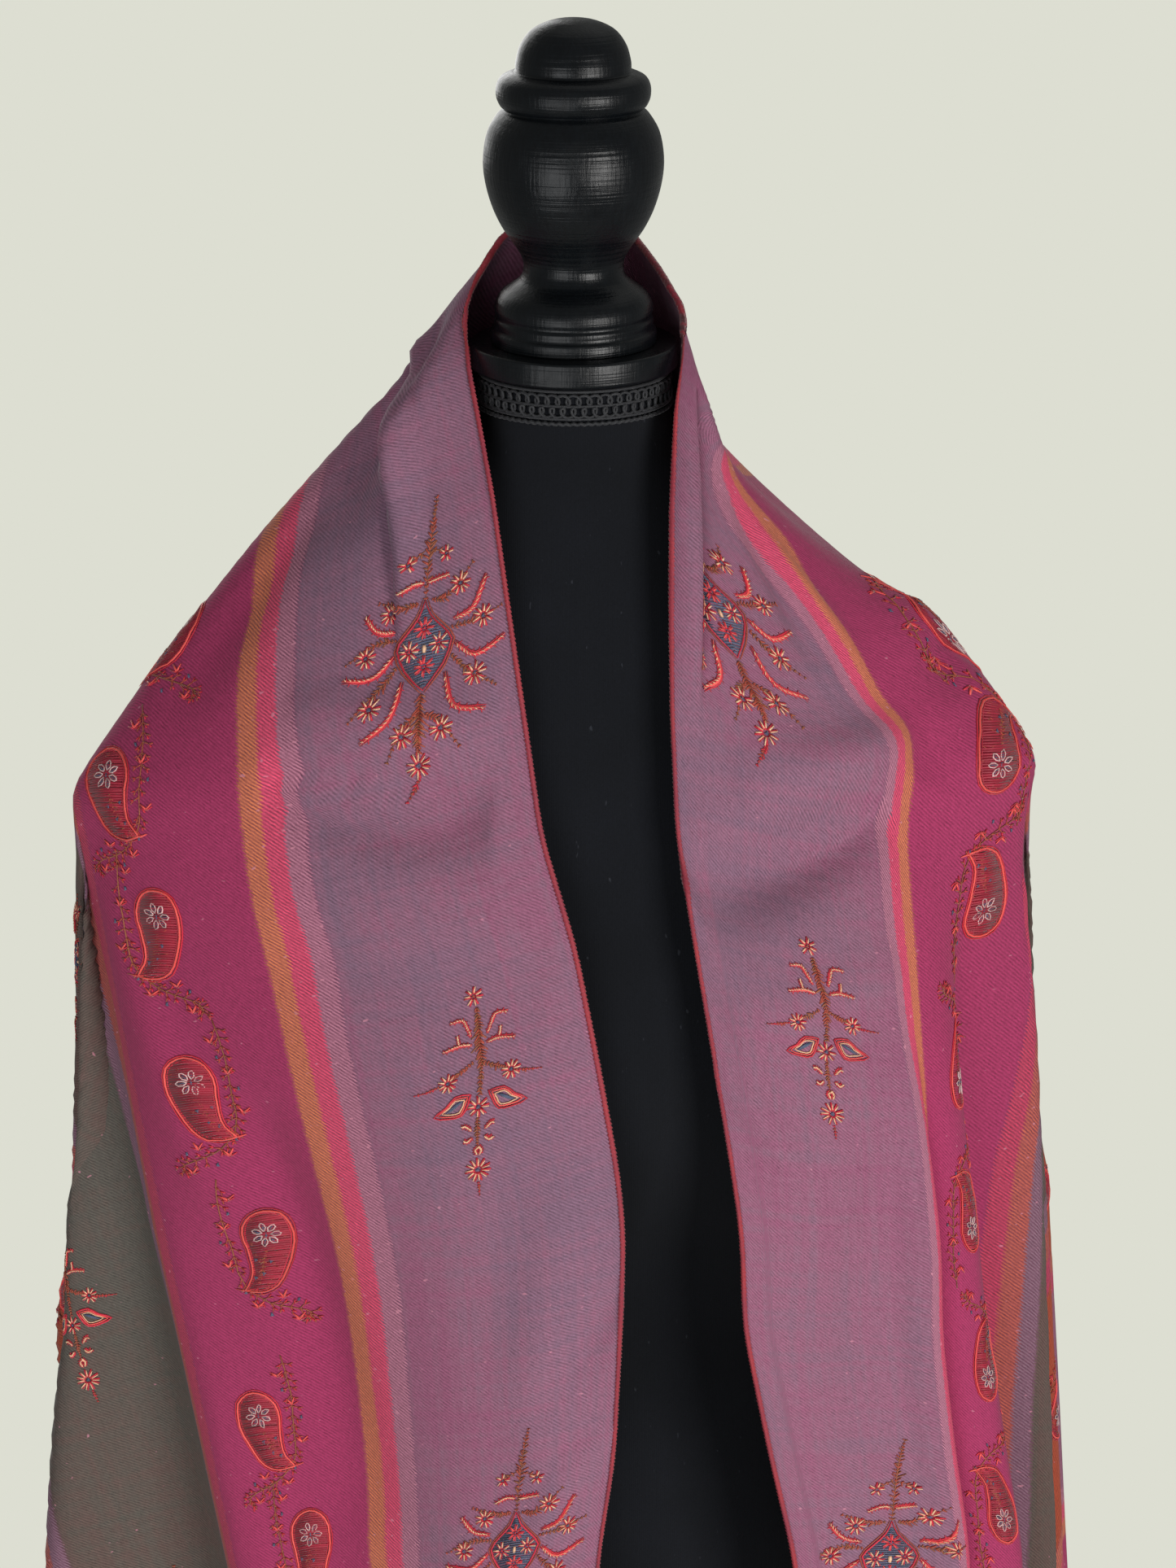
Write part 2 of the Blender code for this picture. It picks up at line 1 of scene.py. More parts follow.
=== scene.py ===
"""Pashmina shawl over a limbless dress form: the looks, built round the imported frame."""
import bpy
import bmesh
import json
import numpy as np
from math import cos, pi, radians, sin
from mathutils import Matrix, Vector

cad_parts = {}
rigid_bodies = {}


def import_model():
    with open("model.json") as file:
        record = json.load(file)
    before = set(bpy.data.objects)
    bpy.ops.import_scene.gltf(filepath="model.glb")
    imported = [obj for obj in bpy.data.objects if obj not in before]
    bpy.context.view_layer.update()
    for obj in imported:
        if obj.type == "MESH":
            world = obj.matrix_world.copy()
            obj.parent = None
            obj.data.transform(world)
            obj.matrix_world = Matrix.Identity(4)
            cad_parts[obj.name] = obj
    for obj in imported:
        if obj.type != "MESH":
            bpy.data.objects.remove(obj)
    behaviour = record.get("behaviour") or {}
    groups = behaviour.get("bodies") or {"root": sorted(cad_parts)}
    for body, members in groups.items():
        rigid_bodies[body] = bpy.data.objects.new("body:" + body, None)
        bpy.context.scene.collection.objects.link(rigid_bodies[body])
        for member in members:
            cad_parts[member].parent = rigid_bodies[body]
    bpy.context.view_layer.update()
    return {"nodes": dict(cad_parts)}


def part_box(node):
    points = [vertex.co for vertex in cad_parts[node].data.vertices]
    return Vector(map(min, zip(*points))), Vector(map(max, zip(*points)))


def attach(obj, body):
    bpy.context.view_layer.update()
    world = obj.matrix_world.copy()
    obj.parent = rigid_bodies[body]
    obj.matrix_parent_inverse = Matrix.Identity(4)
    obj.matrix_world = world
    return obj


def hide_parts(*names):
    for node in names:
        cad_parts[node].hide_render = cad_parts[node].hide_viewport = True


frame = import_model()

bl_info = {
    "name": "Pashmina shawl on a dress form",
    "version": (1, 0, 0),
    "blender": (4, 5, 0),
    "location": "3D View > Sidebar > Shawl",
    "description": "Hangs a striped, embroidered shawl over a dress form",
    "category": "Add Mesh",
}

# ---------------------------------------------------------------- flat cloth
CLOTH_LENGTH = 2.00
CLOTH_WIDTH = 1.00
FOLD_RADIUS = 0.010          # rounding of every fold, at the shoulder
FOLD_OPENING = 0.026         # more rounding for each metre of drop
CLOTH_CLEARANCE = 0.0050     # cloth to form
DISC_CLEARANCE = 0.0024      # cloth to the neck disc's rim
DISC_BLEND = 0.022           # height over the disc by which the cloth is free of it
TURN_SHARE = 0.16            # share of a fold's leg that the turn at each end takes
FRONT_FOLD_OPENS = 0.36      # drop over which a front's folds open
BAND_REPEAT = 0.472          # the bands start again after this much width

# Neck edge of the cloth behind the neck: along the edge from the nape, outward, back, up
NECK_EDGE = {
    "left": (
        (0.000, 0.0000, 0.0510, 0.0460),
        (0.033, 0.0290, 0.0370, 0.0410),
        (0.066, 0.0430, 0.0120, 0.0220)),
    "right": (
        (0.000, 0.0000, 0.0510, 0.0460),
        (0.026, 0.0220, 0.0410, 0.0420),
        (0.060, 0.0390, 0.0140, 0.0250),
        (0.078, 0.0460, 0.0010, 0.0100)),
}
# Roll of the cloth from the neck out to the shoulder point: along and across in the
# flat cloth, then outward, back, up
SHOULDER_ROLL = {
    "left": (
        (0.066, 0.000, 0.043, 0.012, 0.022), (0.071, 0.024, 0.056, 0.010, 0.012),
        (0.080, 0.052, 0.069, 0.007, -0.010), (0.110, 0.098, 0.103, 0.003, -0.048),
        (0.155, 0.133, 0.141, 0.000, -0.091), (0.212, 0.174, 0.187, -0.008, -0.148),
        (0.264, 0.212, 0.226, -0.016, -0.203)),
    "right": (
        (0.078, 0.000, 0.046, 0.001, 0.010), (0.083, 0.040, 0.053, 0.004, -0.012),
        (0.095, 0.080, 0.060, 0.004, -0.042), (0.112, 0.098, 0.081, 0.003, -0.058),
        (0.142, 0.118, 0.110, 0.000, -0.082), (0.212, 0.156, 0.166, -0.008, -0.130),
        (0.262, 0.188, 0.205, -0.016, -0.182)),
}
# Front edges: up, x of the left one, x of the right one, y of both
FRONT_EDGE = (
    (-0.004, -0.0431, 0.0449, -0.0180),
    (-0.020, -0.0392, 0.0418, -0.0300),
    (-0.055, -0.0317, 0.0394, -0.0540),
    (-0.095, -0.0254, 0.0390, -0.0710),
    (-0.139, -0.0186, 0.0393, -0.0860),
    (-0.188, -0.0111, 0.0415, -0.1000),
    (-0.234, 0.0035, 0.0490, -0.1130),
    (-0.284, 0.0138, 0.0574, -0.1240),
    (-0.332, 0.0225, 0.0650, -0.1300),
    (-0.362, 0.0251, 0.0690, -0.1310),
    (-0.406, 0.0240, 0.0703, -0.1310),
    (-0.471, 0.0213, 0.0825, -0.1300),
    (-0.524, 0.0142, 0.0939, -0.1290),
    (-0.620, 0.0100, 0.1050, -0.1300),
    (-0.760, 0.0140, 0.1080, -0.1340),
    (-0.900, 0.0180, 0.1060, -0.1380))
# How far a front bows out over the chest: up, forward
CHEST_BOW = (
    (0.020, 0.000), (-0.060, 0.010), (-0.150, 0.020), (-0.230, 0.030),
    (-0.300, 0.030), (-0.400, 0.014), (-0.520, 0.004), (-1.000, 0.000))
# Collar lobe that laps over each front at the neck: share of the front's width,
# outward and back shift where it is fullest
COLLAR_LOBE = {
    "left": ((0.36, 0.010, -0.012), (0.62, -0.010, 0.014)),
    "right": ((0.36, 0.006, -0.014), (0.64, -0.012, 0.018)),
}
COLLAR_FULL = {"left": 0.28, "right": 0.24}     # share of the roll's run, fullest
COLLAR_FADES = {"left": 0.62, "right": 0.52}    # share of the roll's run, gone
# Folds that fan out below a shoulder point: turn in the flat cloth (rad),
# run outward and run backward for each metre of drop
FAN_FOLDS = {
    "left": (
        (0.000, -0.170, -0.140),
        (0.133, -0.165, -0.034),
        (0.367, 0.087, -0.026),
        (0.610, -0.140, 0.055),
        (0.850, 0.090, 0.110),
        (1.100, -0.150, 0.170),
        (1.360, 0.080, 0.215),
        (1.571, -0.060, 0.270)),
    "right": (
        (0.000, 0.010, -0.060),
        (0.100, 0.085, -0.030),
        (0.350, -0.135, 0.000),
        (0.630, 0.105, 0.060),
        (0.870, -0.120, 0.110),
        (1.120, 0.120, 0.180),
        (1.380, -0.110, 0.205),
        (1.571, 0.030, 0.300)),
}
# Folds inside a front: across in the flat cloth, outward and back shift once open
FRONT_FOLDS = {
    "left": ((0.075, 0.000, -0.012), (0.150, 0.000, 0.010)),
    "right": ((0.120, 0.052, -0.006), (0.152, -0.016, 0.022)),
}
# Folds down the back: share from the centre to the shoulder line, back shift at the hem
BACK_FOLDS = (
    (0.00, 0.030), (0.22, -0.010), (0.45, 0.045),
    (0.68, 0.035), (0.86, 0.045), (1.00, 0.000))
# Centre of the back: run down the cloth, back, up
BACK_LINE = (
    (0.000, 0.0510, 0.0460), (0.060, 0.0680, -0.0120), (0.130, 0.0920, -0.0780),
    (0.200, 0.1050, -0.1470), (0.300, 0.1110, -0.2470), (1.000, 0.1250, -0.9450))
SIDE_SIGN = {"left": -1.0, "right": 1.0}

# Where the cloth is gathered under the right collar and down the right front: along the
# cloth, then where the threads at 0.100, 0.129, 0.170 and 0.236 across lie on the plain hang
GATHER = (
    (0.000, 0.100, 0.129, 0.170, 0.236), (0.060, 0.092, 0.122, 0.164, 0.236),
    (0.094, 0.078, 0.100, 0.150, 0.236), (0.115, 0.046, 0.064, 0.138, 0.236),
    (0.135, 0.029, 0.050, 0.141, 0.236), (0.160, 0.033, 0.076, 0.145, 0.236),
    (0.190, 0.064, 0.085, 0.152, 0.236), (0.230, 0.087, 0.105, 0.163, 0.236),
    (0.255, 0.103, 0.120, 0.168, 0.236), (0.285, 0.104, 0.117, 0.165, 0.234),
    (0.325, 0.097, 0.112, 0.158, 0.231), (0.380, 0.095, 0.105, 0.144, 0.224),
    (0.430, 0.092, 0.099, 0.130, 0.214), (0.480, 0.087, 0.093, 0.119, 0.206),
    (0.600, 0.077, 0.083, 0.112, 0.200), (0.750, 0.071, 0.077, 0.110, 0.200),
    (0.900, 0.082, 0.094, 0.128, 0.208), (1.000, 0.095, 0.115, 0.150, 0.222))
GATHER_ENDS = 0.600          # beyond this much across, the cloth hangs plain again
COLLAR_LIP = 0.0130          # width of the right collar's lobe in front of its pleat
PLEAT_DEEP = 0.0030          # cloth of the plain hang that a pleat takes up
# Lips of the pleats: along the cloth, across it, how far the lip stands out
PLEATS = {
    "left": (
        ((0.045, 0.044, 0.0), (0.080, 0.046, 1.3), (0.120, 0.045, 1.8), (0.160, 0.048, 1.1),
         (0.225, 0.052, 0.0)),),
    "right": (
        ((0.098, 0.0130, 0.0), (0.130, 0.0130, 0.7), (0.160, 0.0130, 1.1), (0.205, 0.0135, 0.9),
         (0.262, 0.0150, 0.0)),
        ((0.380, 0.100, 0.0), (0.470, 0.0915, 1.0), (0.600, 0.0805, 1.3), (0.750, 0.0745, 1.0),
         (0.920, 0.086, 0.0))),
}
# Section of a pleat's lip: across from the lip, outward, forward
LIP_SECTION = (
    (-0.0140, 0.0000, 0.0000), (-0.0070, 0.0018, 0.0034), (-0.0025, 0.0040, 0.0046),
    (0.0000, 0.0046, 0.0026), (0.0014, 0.0024, -0.0022), (0.0030, -0.0006, -0.0034),
    (0.0120, 0.0000, 0.0000))
# Soft creases: half width, rise (troughs are below nothing), places along and across
CREASES = (
    # left front
    (0.016, -0.0140, ((-0.262, 0.118), (-0.282, 0.076), (-0.300, 0.022))),
    (0.050, -0.0075, ((-0.255, 0.208), (-0.345, 0.245), (-0.450, 0.284))),
    (0.060, 0.0060, ((-0.520, 0.310), (-0.640, 0.356), (-0.800, 0.400))),
    (0.015, 0.0060, ((-0.232, 0.105), (-0.248, 0.060), (-0.262, 0.012))),
    (0.024, -0.0039, ((-0.330, 0.125), (-0.356, 0.070), (-0.378, 0.018))),
    (0.013, -0.0045, ((-0.140, 0.095), (-0.185, 0.128), (-0.232, 0.165))),
    (0.018, -0.0060, ((-0.400, 0.150), (-0.500, 0.140), (-0.630, 0.128))),
    (0.021, 0.0045, ((-0.450, 0.025), (-0.550, 0.040), (-0.690, 0.030))),
    (0.014, 0.0048, ((-0.300, 0.200), (-0.380, 0.190), (-0.480, 0.176))),
    (0.012, -0.0033, ((-0.515, 0.000), (-0.540, 0.020), (-0.575, 0.046))),
    (0.009, 0.0030, ((-0.585, 0.000), (-0.600, 0.022), (-0.628, 0.040))),
    (0.030, -0.0067, ((-0.700, 0.070), (-0.800, 0.085), (-0.960, 0.060))),
    # right front
    (0.036, -0.0100, ((0.070, 0.080), (0.112, 0.108), (0.176, 0.152))),
    (0.056, -0.0070, ((0.262, 0.190), (0.340, 0.246), (0.375, 0.390))),
    (0.017, -0.0170, ((0.283, 0.108), (0.306, 0.060), (0.334, 0.004))),
    (0.015, 0.0078, ((0.248, 0.122), (0.262, 0.085), (0.276, 0.030))),
    (0.007, -0.0039, ((0.148, 0.042), (0.184, 0.060), (0.226, 0.076))),
    (0.006, 0.0030, ((0.160, 0.062), (0.200, 0.086), (0.236, 0.104))),
    (0.016, 0.0045, ((0.345, 0.100), (0.366, 0.056), (0.386, 0.010))),
    (0.021, -0.0045, ((0.420, 0.085), (0.500, 0.060), (0.610, 0.052))),
    (0.012, -0.0072, ((0.196, 0.162), (0.236, 0.142), (0.270, 0.126))),
    (0.012, -0.0060, ((0.330, 0.150), (0.420, 0.142), (0.530, 0.146))),
    (0.010, 0.0033, ((0.405, 0.000), (0.428, 0.022), (0.460, 0.036))),
    (0.026, 0.0063, ((0.660, 0.060), (0.780, 0.048), (0.930, 0.066))),
    # back, from the nape and shoulders down
    (0.022, -0.0075, ((-0.030, 0.095), (-0.060, 0.220), (-0.105, 0.390))),
    (0.018, 0.0072, ((0.020, 0.120), (0.048, 0.260), (0.060, 0.430))),
    (0.020, -0.0090, ((0.100, 0.200), (0.122, 0.340), (0.112, 0.500))),
    (0.016, 0.0075, ((-0.132, 0.220), (-0.150, 0.360), (-0.142, 0.520))),
    (0.021, -0.0087, ((-0.190, 0.300), (-0.216, 0.450), (-0.208, 0.630))),
    (0.018, 0.0075, ((0.170, 0.280), (0.200, 0.450), (0.206, 0.610))),
    (0.013, -0.0045, ((-0.075, 0.060), (-0.088, 0.110), (-0.128, 0.180))),
    (0.030, 0.0120, ((-0.048, 0.600), (-0.060, 0.760), (-0.052, 0.960))),
    (0.028, -0.0120, ((0.122, 0.620), (0.130, 0.800), (0.118, 0.970))),
    (0.024, -0.0090, ((-0.300, 0.480), (-0.330, 0.620), (-0.318, 0.820))),
    (0.026, 0.0096, ((0.310, 0.500), (0.330, 0.660), (0.342, 0.860))),
    (0.022, 0.0075, ((-0.420, 0.330), (-0.470, 0.480), (-0.500, 0.640))),
    (0.020, -0.0078, ((0.400, 0.300), (0.450, 0.430), (0.500, 0.590))),
)

# Body of the form: drop below the disc top, half width, front depth, back depth
BODY_ROWS = (
    (0.0108, 0.0400, 0.0395, 0.0400),
    (0.0300, 0.0415, 0.0405, 0.0420),
    (0.0450, 0.0470, 0.0435, 0.0480),
    (0.0700, 0.0670, 0.0510, 0.0590),
    (0.0950, 0.0960, 0.0600, 0.0690),
    (0.1250, 0.1380, 0.0700, 0.0790),
    (0.1550, 0.1760, 0.0790, 0.0850),
    (0.1850, 0.1950, 0.0860, 0.0890),
    (0.2250, 0.1870, 0.0960, 0.0930),
    (0.2600, 0.1680, 0.1070, 0.0935),
    (0.3000, 0.1520, 0.1150, 0.0925),
    (0.3400, 0.1420, 0.1100, 0.0885),
    (0.4000, 0.1230, 0.0920, 0.0795),
    (0.4500, 0.1140, 0.0850, 0.0740),
    (0.5000, 0.1190, 0.0880, 0.0810),
    (0.5500, 0.1310, 0.0930, 0.0920),
    (0.5820, 0.1330, 0.0940, 0.0940),
    (0.5900, 0.1270, 0.0890, 0.0890))

DISC_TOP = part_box("neck_disc")[1][2]
DISC_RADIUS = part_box("neck_disc")[1][0]
DISC_THICKNESS = DISC_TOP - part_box("neck_disc")[0][2]


def column(rows, index):
    """One named column of a table."""
    return np.array([row[index] for row in rows], dtype=float)


def along(run, runs, points):
    """Points at runs along a polyline."""
    return np.stack([np.interp(run, runs, points[:, i]) for i in range(3)], axis=-1)


def runs_of(points, start=0.0):
    """Running length at each point of a polyline."""
    steps = np.linalg.norm(np.diff(points, axis=0), axis=1)
    return start + np.concatenate([[0.0], np.cumsum(steps)])


def make_side(name):
    """Lines that carry one half of the cloth."""
    sign = SIDE_SIGN[name]
    neck = np.array([(sign * r[1], r[2], r[3]) for r in NECK_EDGE[name]])
    roll = np.array([(sign * r[2], r[3], r[4]) for r in SHOULDER_ROLL[name]])
    x_column = 1 if name == "left" else 2
    edge = np.array([neck[-1]] + [(r[x_column], r[3], r[0]) for r in FRONT_EDGE])
    neck_run = NECK_EDGE[name][-1][0]
    roll_runs = runs_of(roll)
    return {
        "name": name, "sign": sign, "neck": neck, "roll": roll, "edge": edge,
        "neck_runs": column(NECK_EDGE[name], 0), "neck_run": neck_run,
        "edge_runs": runs_of(edge, neck_run), "roll_runs": roll_runs / roll_runs[-1],
        "roll_along": column(SHOULDER_ROLL[name], 0), "roll_across": column(SHOULDER_ROLL[name], 1),
        "along": SHOULDER_ROLL[name][-1][0], "across": SHOULDER_ROLL[name][-1][1]}


SIDES = {name: make_side(name) for name in ("left", "right")}


def edge_points(side, s):
    """Neck edge behind the neck, then the front edge."""
    behind = along(s, side["neck_runs"], side["neck"])
    before = along(s, side["edge_runs"], side["edge"])
    return np.where((s < side["neck_run"])[:, None], behind, before)


def round_turns(x, xs, ys):
    """Reading of a table that holds level along each leg and moves on in the turns."""
    k = np.clip(np.searchsorted(xs, x, side="left"), 1, len(xs) - 1)
    w = np.clip((x - xs[k - 1]) / (xs[k] - xs[k - 1]), 0.0, 1.0)
    start = np.minimum(1.0, w / TURN_SHARE)
    end = np.maximum(0.0, (w - 1.0 + TURN_SHARE) / TURN_SHARE)
    return ys[k - 1] + (ys[k] - ys[k - 1]) * (start + end) / 2


def fan_points(side, drop, turn):
    """Cloth below the shoulder point, in folds that open as they fall."""
    rows = FAN_FOLDS[side["name"]]
    out = np.interp(turn, column(rows, 0), column(rows, 1))
    back = round_turns(turn, column(rows, 0), column(rows, 2))
    spread = np.where(drop > 0, drop * drop / (drop + 0.02), 0.0)
    fall = np.sqrt(np.maximum(0.2, 1.0 - out * out - back * back))
    shift = np.stack([side["sign"] * out * spread, back * spread, -drop * fall], axis=-1)
    return side["roll"][-1] + shift


def collar_fullness(name, share):
    """How far the collar lobe stands out at a share of the shoulder roll."""
    full, fades = COLLAR_FULL[name], COLLAR_FADES[name]
    rise = np.where(share < full, share / full, (fades - share) / (fades - full))
    rise = np.clip(rise, 0.0, 1.0)
    return rise * rise * (3.0 - 2.0 * rise)


def front_points(side, s, t):
    """Front of the shawl, from its edge out to the roll or the first fold."""
    name, sign = side["name"], side["sign"]
    above = s <= side["along"]
    width = np.where(above, np.interp(s, side["roll_along"], side["roll_across"]), side["across"])
    width = np.maximum(width, 1e-9)
    past = np.maximum(s - side["along"], 0.0)
    outer = np.where(
        above[:, None], along(s, side["roll_along"], side["roll"]),
        fan_points(side, past, np.zeros_like(s)))
    w = np.minimum(1.0, t / width)
    p = edge_points(side, s)
    p = p + (outer - p) * w[:, None]
    bow = np.interp(-p[:, 2], -column(CHEST_BOW, 0), column(CHEST_BOW, 1))
    p[:, 1] -= bow * 4.0 * w * (1.0 - w)
    share = np.interp(s, side["roll_along"], side["roll_runs"])
    full = np.where(above, collar_fullness(name, share), 0.0)
    lobe = ((0.0, 0.0, 0.0),) + COLLAR_LOBE[name] + ((1.0, 0.0, 0.0),)
    p[:, 0] += sign * np.interp(w, column(lobe, 0), column(lobe, 1)) * full
    p[:, 1] += np.interp(w, column(lobe, 0), column(lobe, 2)) * full
    rows = ((0.0, 0.0, 0.0),) + FRONT_FOLDS[name] + ((side["across"], 0.0, 0.0),)
    opened = np.clip((past - 0.03) / FRONT_FOLD_OPENS, 0.0, 1.0)
    p[:, 0] += sign * np.interp(t, column(rows, 0), column(rows, 1)) * opened
    p[:, 1] += np.interp(t, column(rows, 0), column(rows, 2)) * opened
    return p


def back_points(side, s, t):
    """Back of the shawl, from the centre round to the roll or the last fold."""
    runs = column(BACK_LINE, 0)
    centre_y = np.interp(t, runs, column(BACK_LINE, 1))
    centre_z = np.interp(t, runs, column(BACK_LINE, 2))
    past = t - side["across"]
    on_roll = past <= 0
    span = np.where(on_roll, np.interp(t, side["roll_across"], side["roll_along"]), side["along"])
    outer = np.where(
        on_roll[:, None], along(t, side["roll_across"], side["roll"]),
        fan_points(side, np.maximum(past, 0.0), np.full_like(t, pi / 2)))
    w = np.minimum(1.0, s / span)
    level = w * w * (3.0 - 2.0 * w)
    p = np.stack([
        outer[:, 0] * np.sin(w * pi / 2),
        outer[:, 1] + (centre_y - outer[:, 1]) * np.cos(w * pi / 2),
        centre_z + (outer[:, 2] - centre_z) * level], axis=-1)
    near_neck = np.clip(t / 0.04, 0.0, 1.0)[:, None]
    p = edge_points(side, w * side["neck_run"]) * (1.0 - near_neck) + p * near_neck
    shift = np.interp(w, column(BACK_FOLDS, 0), column(BACK_FOLDS, 1))
    p[:, 1] += shift * np.maximum(past, 0.0) / (CLOTH_WIDTH - side["across"])
    return np.where((t <= 1e-9)[:, None], edge_points(side, s), p)


def sharp_points(s, t):
    """Where flat points lie, before the folds are rounded."""
    result = np.zeros((len(s), 3))
    for side in SIDES.values():
        mine = (s < 0) == (side["name"] == "left")
        u, v = np.abs(s[mine]), t[mine]
        past_along, past_across = u - side["along"], v - side["across"]
        fan = (past_along > 0) & (past_across > 0)
        roll_t = np.interp(u, side["roll_along"], side["roll_across"])
        front = ~fan & (past_across <= 0) & (
            (past_along > 0) | ((u >= side["neck_run"]) & (v <= roll_t)))
        p = back_points(side, u, v)
        p[front] = front_points(side, u[front], v[front])
        drop = np.hypot(past_along[fan], past_across[fan])
        p[fan] = fan_points(side, drop, np.arctan2(past_across[fan], past_along[fan]))
        result[mine] = p
    return result


def body_sections(z):
    """Half width, front depth and back depth of the form at heights from the disc top."""
    drops = column(BODY_ROWS, 0)
    return [np.interp(-z, drops, column(BODY_ROWS, i)) for i in (1, 2, 3)]


def clear_of_form(p):
    """Moves cloth points out of the form and its neck disc."""
    z = p[:, 2]
    level_with_form = (z <= DISC_BLEND) & (z >= -BODY_ROWS[-1][0] - 0.010)
    half, front, back = body_sections(z)
    by_disc = z > -DISC_THICKNESS - 0.008
    rim = DISC_RADIUS + DISC_CLEARANCE - CLOTH_CLEARANCE
    half, front, back = (np.where(by_disc, np.maximum(d, rim), d) for d in (half, front, back))
    depth = np.where(p[:, 1] > 0, back, front)
    inside = np.hypot(p[:, 0] / (half + CLOTH_CLEARANCE), p[:, 1] / (depth + CLOTH_CLEARANCE))
    pushed = np.clip((DISC_BLEND - z) / (DISC_BLEND - 0.002), 0.0, 1.0)
    pushed = pushed * pushed * (3.0 - 2.0 * pushed)
    full = 1.0 / np.maximum(inside, 1e-6) - 1.0
    grow = np.where(level_with_form & (inside < 1.0), 1.0 + pushed * full, 1.0)
    moved = p.copy()
    moved[:, 0] *= grow
    moved[:, 1] *= grow
    return moved


def cloth_points(s, t):
    """Flat points on the hanging cloth, folds rounded, heights from the disc top."""
    sides = [SIDES["left"], SIDES["right"]]
    start_s = np.where(s < 0, sides[0]["along"], sides[1]["along"])
    start_t = np.where(s < 0, sides[0]["across"], sides[1]["across"])
    drop = np.hypot(np.maximum(0.0, np.abs(s) - start_s), np.maximum(0.0, t - start_t))
    reach = FOLD_RADIUS + FOLD_OPENING * drop
    total = np.zeros((len(s), 3))
    weights = 0.0
    for i in (-1.0, -0.5, 0.0, 0.5, 1.0):
        for j in (-1.0, -0.5, 0.0, 0.5, 1.0):
            weight = np.exp(-1.2 * (i * i + j * j))
            near_s = np.clip(s + i * reach, -CLOTH_LENGTH / 2, CLOTH_LENGTH / 2)
            near_t = np.clip(t + j * reach, 0.0, CLOTH_WIDTH)
            total += weight * sharp_points(near_s, near_t)
            weights += weight
    return clear_of_form(total / weights)


def gathered(s, t):
    """Where flat points lie across the plain hang, with the right collar's gather taken up."""
    table = sweep(GATHER, 160)
    a, b, c, d = (np.interp(np.abs(s), table[:, 0], table[:, i]) for i in (1, 2, 3, 4))
    comes_out = np.maximum(0.100 - (a - COLLAR_LIP - PLEAT_DEEP), COLLAR_LIP + PLEAT_DEEP)
    pleated = np.where(
        t < COLLAR_LIP, t, np.where(
            t < comes_out,
            COLLAR_LIP + (t - COLLAR_LIP) / (comes_out - COLLAR_LIP) * PLEAT_DEEP,
            COLLAR_LIP + PLEAT_DEEP + (t - comes_out) / np.maximum(0.100 - comes_out, 1e-6)
            * (a - COLLAR_LIP - PLEAT_DEEP)))
    share = np.clip((np.abs(s) - 0.094) / 0.036, 0.0, 1.0)
    share = share * share * (3.0 - 2.0 * share)
    under = t * a / 0.100 * (1.0 - share) + pleated * share
    result = np.where(t < 0.100, under, a + (t - 0.100) / 0.029 * (b - a))
    result = np.where(t > 0.129, b + (t - 0.129) / 0.041 * (c - b), result)
    result = np.where(t > 0.170, c + (t - 0.170) / 0.066 * (d - c), result)
    result = np.where(t > 0.236, d + (t - 0.236) / (GATHER_ENDS - 0.236) * (GATHER_ENDS - d), result)
    return np.where((s < 0) | (t > GATHER_ENDS), t, result)


def pleat_shift(s, t):
    """Outward and forward shift of the cloth at the lips of its pleats."""
    shift = np.zeros((len(s), 3))
    section = sweep(LIP_SECTION, 60)
    for name, rows in PLEATS.items():
        sign = SIDE_SIGN[name]
        for lip in rows:
            line = sweep(lip, 40)
            run = np.abs(s)
            stands = np.interp(run, line[:, 0], line[:, 2], left=0.0, right=0.0)
            stands = np.where(np.sign(s) == sign, np.maximum(stands, 0.0), 0.0)
            off = t - np.interp(run, line[:, 0], line[:, 1])
            shift[:, 0] += sign * stands * np.interp(off, section[:, 0], section[:, 1])
            shift[:, 1] -= stands * np.interp(off, section[:, 0], section[:, 2])
    return shift


def crease_rise(s, t):
    """Rise of the soft creases at flat points, fading out at both ends of each."""
    rise = np.zeros(len(s))
    for half, height, places in CREASES:
        path = sweep(places, 15)
        near = np.full(len(s), 1e9)
        share = np.zeros(len(s))
        for k, (a, b) in enumerate(zip(path, path[1:])):
            step = b - a
            u = ((s - a[0]) * step[0] + (t - a[1]) * step[1]) / (step @ step)
            u = np.clip(u, 0.0, 1.0)
            gap = np.hypot(s - a[0] - u * step[0], t - a[1] - u * step[1])
            share = np.where(gap < near, (k + u) / (len(path) - 1), share)
            near = np.minimum(near, gap)
        fade = np.sin(np.clip(share, 0.0, 1.0) * pi) ** 0.6
        width = half * (0.75 + 0.5 * share)
        rise += height * fade * np.exp(-(near / width) ** 2 * 1.6)
    return rise


# ---------------------------------------------------------------- colours and sizes
def tone(red, green, blue):
    """A colour given as eye-level shares of 255, as the linear one that Blender uses."""
    return tuple(round(((c / 255 + 0.055) / 1.055) ** 2.4, 4) for c in (red, green, blue))


# Bands across one repeat of the cloth: starts at, colour
BANDS = (
    (0.000, tone(148, 100, 122)),      # mauve
    (0.100, tone(184, 122, 142)),      # pale lilac
    (0.109, tone(228, 82, 112)),       # pink
    (0.119, tone(218, 124, 84)),       # gold
    (0.129, tone(166, 56, 98)),        # magenta
    (0.207, tone(196, 66, 92)),        # rose
    (0.216, tone(184, 94, 76)),        # orange
    (0.226, tone(132, 104, 118)),      # lilac grey
    (0.236, tone(98, 84, 78)),         # grey olive
    (0.336, tone(132, 104, 118)),      # lilac grey
    (0.345, tone(184, 94, 76)),        # orange
    (0.355, tone(196, 66, 92)),        # rose
    (0.365, tone(168, 76, 54)),        # rust
    (0.443, tone(200, 110, 82)),       # gold
    (0.453, tone(208, 74, 102)),       # pink
    (0.463, tone(168, 112, 130)),      # pale lilac
)
